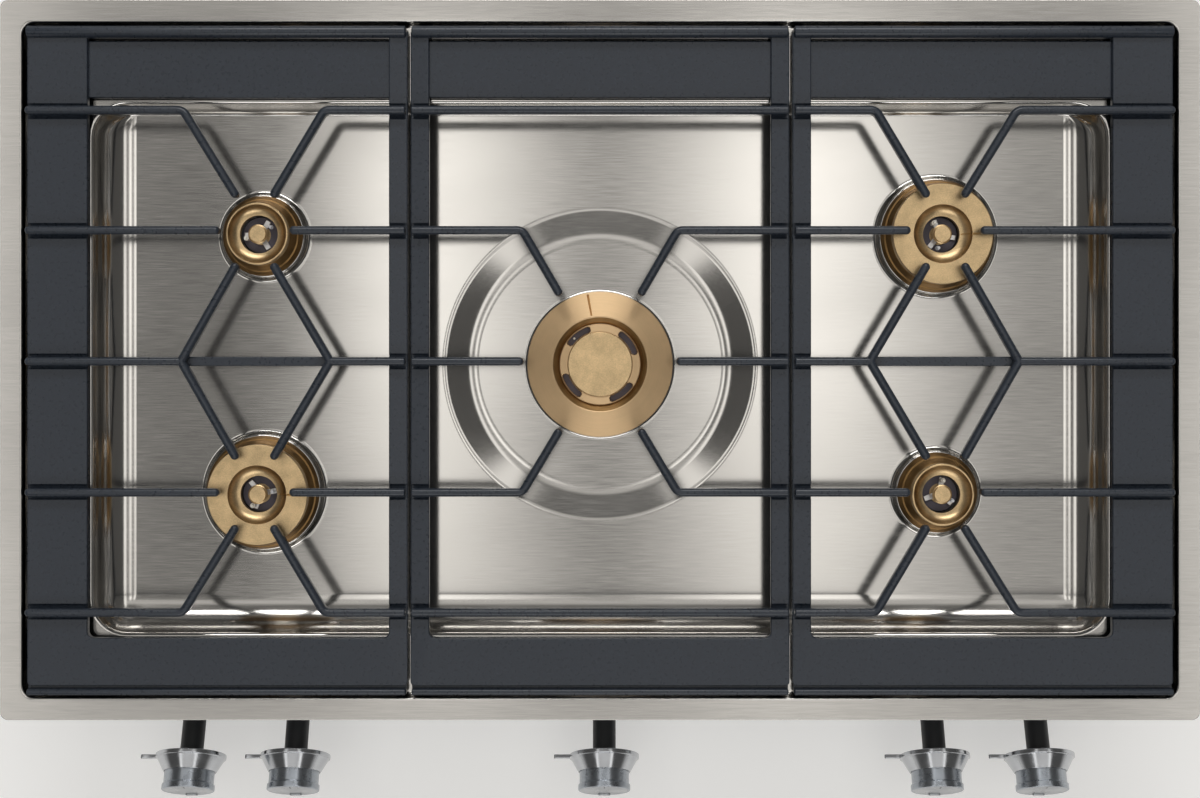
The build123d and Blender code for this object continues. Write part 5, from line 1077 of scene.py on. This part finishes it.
class PressedPlate(bpy.types.Operator):
    """Builds the frame, recess, basin, dish and collars as one pressed sheet"""
    bl_idname = "cooktop.pressed_plate"
    bl_label = "Pressed plate"

    def execute(self, context):
        piece = pressed_sheet().build("pressed_plate", facing=(0, 0, 1))
        solid = piece.modifiers.new("Sheet", "SOLIDIFY")
        solid.thickness = chosen_sizes().sheet * MM
        solid.offset = -1
        solid.use_even_offset = True
        steel = brushed_stainless_sheet(finishes().steel, finishes().steel_roughness)
        place(piece, "hob", "brushed_steel_sheet", ["top_plate"], steel)
        return {"FINISHED"}


class PanSupports(bpy.types.Operator):
    """Builds the three enamelled cast pan supports"""
    bl_idname = "cooktop.pan_supports"
    bl_label = "Pan supports"

    def execute(self, context):
        enamel = enamelled_cast_iron(finishes().enamel, finishes().enamel_roughness)
        for name in ("left", "centre", "right"):
            node = f"pan_support_{name}"
            piece = one_support(name).build(f"cast_support_{name}", sharp=50)
            place(piece, node, "enamelled_cast_iron", [node], enamel)
        return {"FINISHED"}


class BurnerTops(bpy.types.Operator):
    """Builds the brass rings, the wok burner's inner ring and its cap"""
    bl_idname = "cooktop.burner_tops"
    bl_label = "Burner rings"

    def execute(self, context):
        turned_brass = turned_metal("turned_brass", "#D2B48C", 0.5, groove_mm=0.5, swing=0.02, spread=0.05,
                                    aniso=0.6, depth_mm=0.008)
        for name in BURNERS:
            slot, finish = "matt_brass", [matt_brass()]
            if name == "wok":
                slot, finish = "turned_brass", [turned_brass, darkened()]
            ring = burner_ring(name).build(f"brass_ring_{name}", sharp=40)
            place(ring, f"ring_{name}", slot, [f"burner_ring_{name}"], *finish)
        inner = wok_inner_ring().build("wok_flame_ring", sharp=40)
        # the inner ring's slot floors get the dark grey painted shade
        place(inner, "wok_inner", "turned_brass", ["wok_inner_ring"], turned_brass, painted_shade_finish())
        cap = wok_cap().build("wok_centre_cap", sharp=40)
        place(cap, "wok_inner", "matt_brass", ["wok_cap"], matt_brass())
        return {"FINISHED"}


class BurnerBodies(bpy.types.Operator):
    """Builds the burner bases and hubs and finishes what stands inside the bowls"""
    bl_idname = "cooktop.burner_bodies"
    bl_label = "Burner bodies"

    def execute(self, context):
        tab_steel = plain_finish("stamped_stainless_tab", "#D2D0CE", 0.38, 1.0, 3.0, 0.02)
        bases = burner_bases().build("brass_bases", sharp=40)
        place(bases, "hob", "dark_brass", ["burner_bases"], darkened())
        pins = burner_hubs().build("burner_pins", sharp=40)
        place(pins, "hob", "turned_brass", ["burner_hubs"], matt_brass())
        tabs = flame_tabs().build("flame_tab_sets", sharp=40)
        # the seat rings under the tabs get the dark grey painted shade
        place(tabs, "hob", "stainless_tab", ["flame_spiders"], tab_steel, painted_shade_finish())
        dress(["electrodes"], plain_finish("glazed_alumina", "#E8E4DA", 0.25, 0.0, 1.0, 0.01, 0.04))
        dress(["flame_sensors"], plain_finish("drawn_steel_rod", "#B9B9BB", 0.3, 1.0, 1.0, 0.01))
        dress(["burner_cups"], plain_finish("diecast_aluminium", "#8E8F92", 0.5, 1.0, 1.5, 0.05))
        return {"FINISHED"}


class Knobs(bpy.types.Operator):
    """Builds the bezels, sleeves, knobs and knob faces"""
    bl_idname = "cooktop.knobs"
    bl_label = "Knobs"

    def execute(self, context):
        face = turned_metal(
            "brushed_steel_disc", "#A9ABAE", 0.3, groove_mm=0.4, swing=0.05, spread=0.08, aniso=0.7)
        barrel = turned_metal(
            "satin_turned_knob", "#A4A9AF", 0.28, groove_mm=0.35, swing=0.03, spread=0.06, aniso=0.6)
        satin = turned_metal(
            "satin_turned_steel", "#BFC1C4", 0.2, groove_mm=0.35, swing=0.04, spread=0.06, aniso=0.6)
        black = plain_finish("black_filled_paint", "#101112", 0.6, 0.0, 1.0, 0.01)
        tube = plain_finish("moulded_black_nylon", "#18191B", 0.5, 0.0, 1.2, 0.03)
        place(knob_bezels().build("bezel_cones", sharp=40), "hob", "satin_steel_knob", ["knob_bezels"], satin)
        place(sleeves().build("bezel_tubes", sharp=40), "hob", "black_plastic", ["bezel_sleeves"], tube)
        for number, x in enumerate(KNOB_X, start=1):
            body = f"knob_{number}"
            place(knob(x).build(f"knob_barrel_{number}", sharp=40), body, "satin_steel_knob", [body], barrel)
            disc = knob_face(x).build(f"knob_disc_{number}", sharp=40)
            place(disc, body, "brushed_knob_face", [f"knob_face_{number}"], face, black)
        return {"FINISHED"}


KNOB_NUMBERS = range(1, len(KNOB_X) + 1)
# nodes, then the finish: name, colour, roughness, metallic, grain in mm, depth in mm
HIDDEN_FINISHES = (
    (("cover_screws", "bracket_screws", "clamp_screws"),
     "zinc_plated_screw", "#C4C4BE", 0.35, 1.0, 1.0, 0.01),
    (("gas_rail", *(f"tap_spindle_{n}" for n in KNOB_NUMBERS)),
     "bright_drawn_steel", "#BDBEC0", 0.3, 1.0, 2.0, 0.01),
    (("gas_inlet", "gas_taps", "injectors", *(f"tap_plug_{n}" for n in KNOB_NUMBERS)),
     "machined_brass", "#C2A05E", 0.35, 1.0, 1.5, 0.02),
    (("feed_pipes",), "drawn_aluminium_pipe", "#C9CACC", 0.35, 1.0, 2.0, 0.01),
    (("rail_brackets", "terminal_box"), "moulded_grey_nylon", "#7C7D7E", 0.55, 0.0, 1.2, 0.03),
    (("spark_generator", "mains_gland"), "moulded_black_plastic", "#1C1D1F", 0.5, 0.0, 1.2, 0.03),
    (("worktop_seal",), "closed_cell_foam", "#202122", 0.85, 0.0, 0.8, 0.1),
    (tuple(f"support_feet_{n}" for n in ("left", "centre", "right")),
     "silicone_rubber", "#262729", 0.7, 0.0, 1.0, 0.03),
)


class UnderWorktop(bpy.types.Operator):
    """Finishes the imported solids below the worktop"""
    bl_idname = "cooktop.under_worktop"
    bl_label = "Under the worktop"

    def execute(self, context):
        dress(["housing", "bottom_cover", "clamp_brackets"], galvanised_sheet())
        for nodes, *finish in HIDDEN_FINISHES:
            dress(nodes, plain_finish(*finish))
        return {"FINISHED"}


# ------------------------------------------------------------------ stage
FLOOR_HALF, FLOOR_GAP, FLOOR_GLOW = 30.0, 0.0005, 0.3   # half side and gap under the object in m, and glow
EYE_M, SHIFT = (0.0015, -0.003, 1.264), (-2 / 1200, -35 / 1200)   # shift in shares of the photo's width
# the world's bands, in u = x / z for left and right and v = y / z for front and rear
WORLD_COLOUR = (1.0, 0.985, 0.96, 1)
LOWEST_Z = 0.02                   # directions below this count as the horizon
PANEL_AT, PANEL_LEFT, PANEL_RIGHT = 0.112, -0.19, 0.24   # the panels' brightest lines and outer borders
PANEL_PEAK, PANEL_GLOW, PANEL_TURN = 1.5, 1.7, 0.13      # the panels grow brighter to the rear, to PANEL_GLOW
MIDDLE_END = (0.16, 0.2)          # |v| where the panels and fills fade out
FILL_IN, FILL_OUT, FILL_TURN = (0.17, 0.24), (0.29, 0.32), 0.1
LEFT_FILL, RIGHT_FILL = 0.1, 0.28
SIDE_IN, SIDE_RISE, SIDE_OUT, SIDE_END = (0.3, 0.34), (0.37, 0.42), (0.5, 0.58), (0.5, 1.0)
END_IN, END_OUT, END_TURN, END_SIDES = (0.16, 0.24), (0.4, 0.6), 0.3, (0.42, 0.6)
END_REST = 0.12                   # share of the end boxes' light that is left beyond them
SIDE_GLOW, SIDE_GAIN, FRONT_GLOW, REAR_GLOW = 0.75, 2.0, 0.85, 0.6
HORIZON, HORIZON_GLOW, DIM_GLOW = (0.03, 0.35), 0.7, 0.10
# name: place, point it is aimed at, size across and along (all m), radiance of its face
LAMPS = {
    "rear_lamp": ((0.0, 2.6, 1.9), (0.0, 0.0, 0.0), (2.4, 0.6), 9.0),
    "front_lamp": ((0.0, -2.6, 1.9), (0.0, 0.0, 0.0), (2.2, 0.9), 3.0),
}


def studio_floor(code):
    """Matt pale floor in the light, with a glow of its own colour to the camera, mirrors and glass alone."""
    material, tree = empty_material("matt_studio_floor")
    soft = add(tree, "BsdfDiffuse", {"Color": linear(code)})
    glow = add(tree, "Emission", {"Color": linear(code), "Strength": seen_rays(tree, 0.0, FLOOR_GLOW)})
    both = add(tree, "AddShader", {0: soft.outputs[0], 1: glow.outputs[0]})
    add(tree, "OutputMaterial", {"Surface": both.outputs[0]})
    return material


def seen_rays(tree, other, seen):
    """A strength that is seen for camera, glossy and transmission rays and other for the rest."""
    path = add(tree, "LightPath")
    first = add(tree, "Math", {
        0: path.outputs["Is Camera Ray"], 1: path.outputs["Is Glossy Ray"]}, operation="MAXIMUM")
    every = add(tree, "Math", {
        0: first.outputs[0], 1: path.outputs["Is Transmission Ray"]}, operation="MAXIMUM")
    return add(tree, "MapRange", {"Value": every.outputs[0], "To Min": other, "To Max": seen}).outputs[0]


def studio_world():
    """Plain soft studio as a smooth function of the direction (x, y, z) alone; u = x / z and v = y / z.

    Two long soft panels hang overhead, brightest along u = -0.11 and 0.11, with a weak fill beyond each.
    A soft box stands at each side from |u| = 0.3 to 0.58, brighter in its outer part, and one more at the
    front and rear from |v| = 0.16 to 0.6, no wider than |u| = 0.6. The rest is dim, and pale at the horizon.
    """
    world = bpy.data.worlds.new("studio_world")
    world.use_nodes = True
    tree = world.node_tree
    way = add(tree, "SeparateXYZ", {"Vector": add(tree, "TexCoord").outputs["Generated"]})
    rise = add(tree, "Math", {0: way.outputs["Z"], 1: LOWEST_Z}, operation="MAXIMUM").outputs[0]
    u = add(tree, "Math", {0: way.outputs["X"], 1: rise}, operation="DIVIDE").outputs[0]
    v = add(tree, "Math", {0: way.outputs["Y"], 1: rise}, operation="DIVIDE").outputs[0]
    side = add(tree, "Math", {0: u}, operation="ABSOLUTE").outputs[0]
    reach = add(tree, "Math", {0: v}, operation="ABSOLUTE").outputs[0]

    def ramp(value, start, end, low, high, kind="SMOOTHSTEP"):
        return add(tree, "MapRange", {
            "Value": value, "From Min": start, "From Max": end, "To Min": low, "To Max": high,
        }, interpolation_type=kind).outputs[0]

    def joined(operation, first, *others):
        for other in others:
            first = add(tree, "Math", {0: first, 1: other}, operation=operation).outputs[0]
        return first

    tents = joined(
        "MINIMUM", ramp(side, 0.0, PANEL_AT, 0.0, PANEL_PEAK, "LINEAR"),
        ramp(u, PANEL_LEFT, -PANEL_AT, 0.0, PANEL_PEAK, "LINEAR"),
        ramp(u, PANEL_AT, PANEL_RIGHT, PANEL_PEAK, 0.0, "LINEAR"))
    panels = joined(
        "MULTIPLY", tents, ramp(v, -PANEL_TURN, PANEL_TURN, 1.0, PANEL_GLOW, "LINEAR"),
        ramp(reach, *MIDDLE_END, 1.0, 0.0))
    fill = joined(
        "MULTIPLY", ramp(side, *FILL_IN, 0.0, 1.0), ramp(side, *FILL_OUT, 1.0, 0.0),
        ramp(u, -FILL_TURN, FILL_TURN, LEFT_FILL, RIGHT_FILL), ramp(reach, *MIDDLE_END, 1.0, 0.0))
    side_boxes = joined(
        "MULTIPLY", ramp(side, *SIDE_IN, 0.0, SIDE_GLOW), ramp(side, *SIDE_RISE, 1.0, SIDE_GAIN),
        ramp(side, *SIDE_OUT, 1.0, 0.0), ramp(reach, *SIDE_END, 1.0, 0.0))
    end_boxes = joined(
        "MULTIPLY", ramp(reach, *END_IN, 0.0, 1.0), ramp(v, -END_TURN, END_TURN, FRONT_GLOW, REAR_GLOW),
        ramp(side, *END_SIDES, 1.0, 0.0), ramp(reach, *END_OUT, 1.0, END_REST))
    back = ramp(way.outputs["Z"], *HORIZON, HORIZON_GLOW, DIM_GLOW)
    glow = joined("ADD", joined("MAXIMUM", side_boxes, end_boxes), panels, fill, back)
    background = tree.nodes["Background"]
    background.inputs["Color"].default_value = WORLD_COLOUR
    tree.links.new(glow, background.inputs["Strength"])
    return world


def lamp(name, place_m, aim_m, size_m, radiance):
    """Rectangular soft lamp that points from place to aim; its watts are pi * radiance * area."""
    data = bpy.data.lights.new(name, "AREA")
    data.shape, data.size, data.size_y = "RECTANGLE", *size_m
    data.energy = pi * radiance * size_m[0] * size_m[1]
    light = bpy.data.objects.new(name, data)
    bpy.context.scene.collection.objects.link(light)
    light.location = place_m
    light.rotation_euler = (Vector(aim_m) - Vector(place_m)).to_track_quat("-Z", "Y").to_euler()
    light.visible_camera = False
    return light


class Stage(bpy.types.Operator):
    """Sets the floor, the world, the lamps and the camera"""
    bl_idname = "cooktop.stage"
    bl_label = "Studio stage"

    def execute(self, context):
        scene = context.scene
        floor = bpy.data.objects.new("floor", bpy.data.meshes.new("floor"))
        side, z = FLOOR_HALF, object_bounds()[0][2] - FLOOR_GAP
        corners = [(-side, -side, z), (side, -side, z), (side, side, z), (-side, side, z)]
        floor.data.from_pydata(corners, [], [(0, 1, 2, 3)])
        floor.data.materials.append(studio_floor(finishes().floor))
        scene.collection.objects.link(floor)
        floor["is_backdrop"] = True
        scene.world = studio_world()
        for name, values in LAMPS.items():
            lamp(name, *values)
        camera = bpy.data.cameras.new("camera")
        camera.lens, camera.sensor_width = 50.0, 36.0
        camera.shift_x, camera.shift_y = SHIFT
        camera.clip_start = 0.01
        eye = bpy.data.objects.new("camera", camera)
        eye.location = EYE_M
        scene.collection.objects.link(eye)
        scene.camera = eye
        scene.view_settings.view_transform = "Standard"
        return {"FINISHED"}


class CooktopPanel(bpy.types.Panel):
    bl_label = "Cooktop"
    bl_idname = "VIEW3D_PT_cooktop"
    bl_space_type = "VIEW_3D"
    bl_region_type = "UI"
    bl_category = "Cooktop"

    def draw(self, context):
        for group in (context.scene.cooktop_sizes, context.scene.cooktop_finishes):
            for key in group.__annotations__:
                self.layout.prop(group, key)
        for step in STEPS:
            self.layout.operator(step.bl_idname)


STEPS = (Stage, PressedPlate, PanSupports, BurnerTops, BurnerBodies, Knobs, UnderWorktop)
CLASSES = (CooktopSizes, CooktopFinishes, *STEPS, CooktopPanel)


def register():
    for cls in CLASSES:
        bpy.utils.register_class(cls)
    bpy.types.Scene.cooktop_sizes = bpy.props.PointerProperty(type=CooktopSizes)
    bpy.types.Scene.cooktop_finishes = bpy.props.PointerProperty(type=CooktopFinishes)


def unregister():
    del bpy.types.Scene.cooktop_finishes
    del bpy.types.Scene.cooktop_sizes
    for cls in reversed(CLASSES):
        bpy.utils.unregister_class(cls)


def main():
    register()
    for step in STEPS:
        group, name = step.bl_idname.split(".")
        getattr(getattr(bpy.ops, group), name)()


if __name__ == "__main__":
    main()
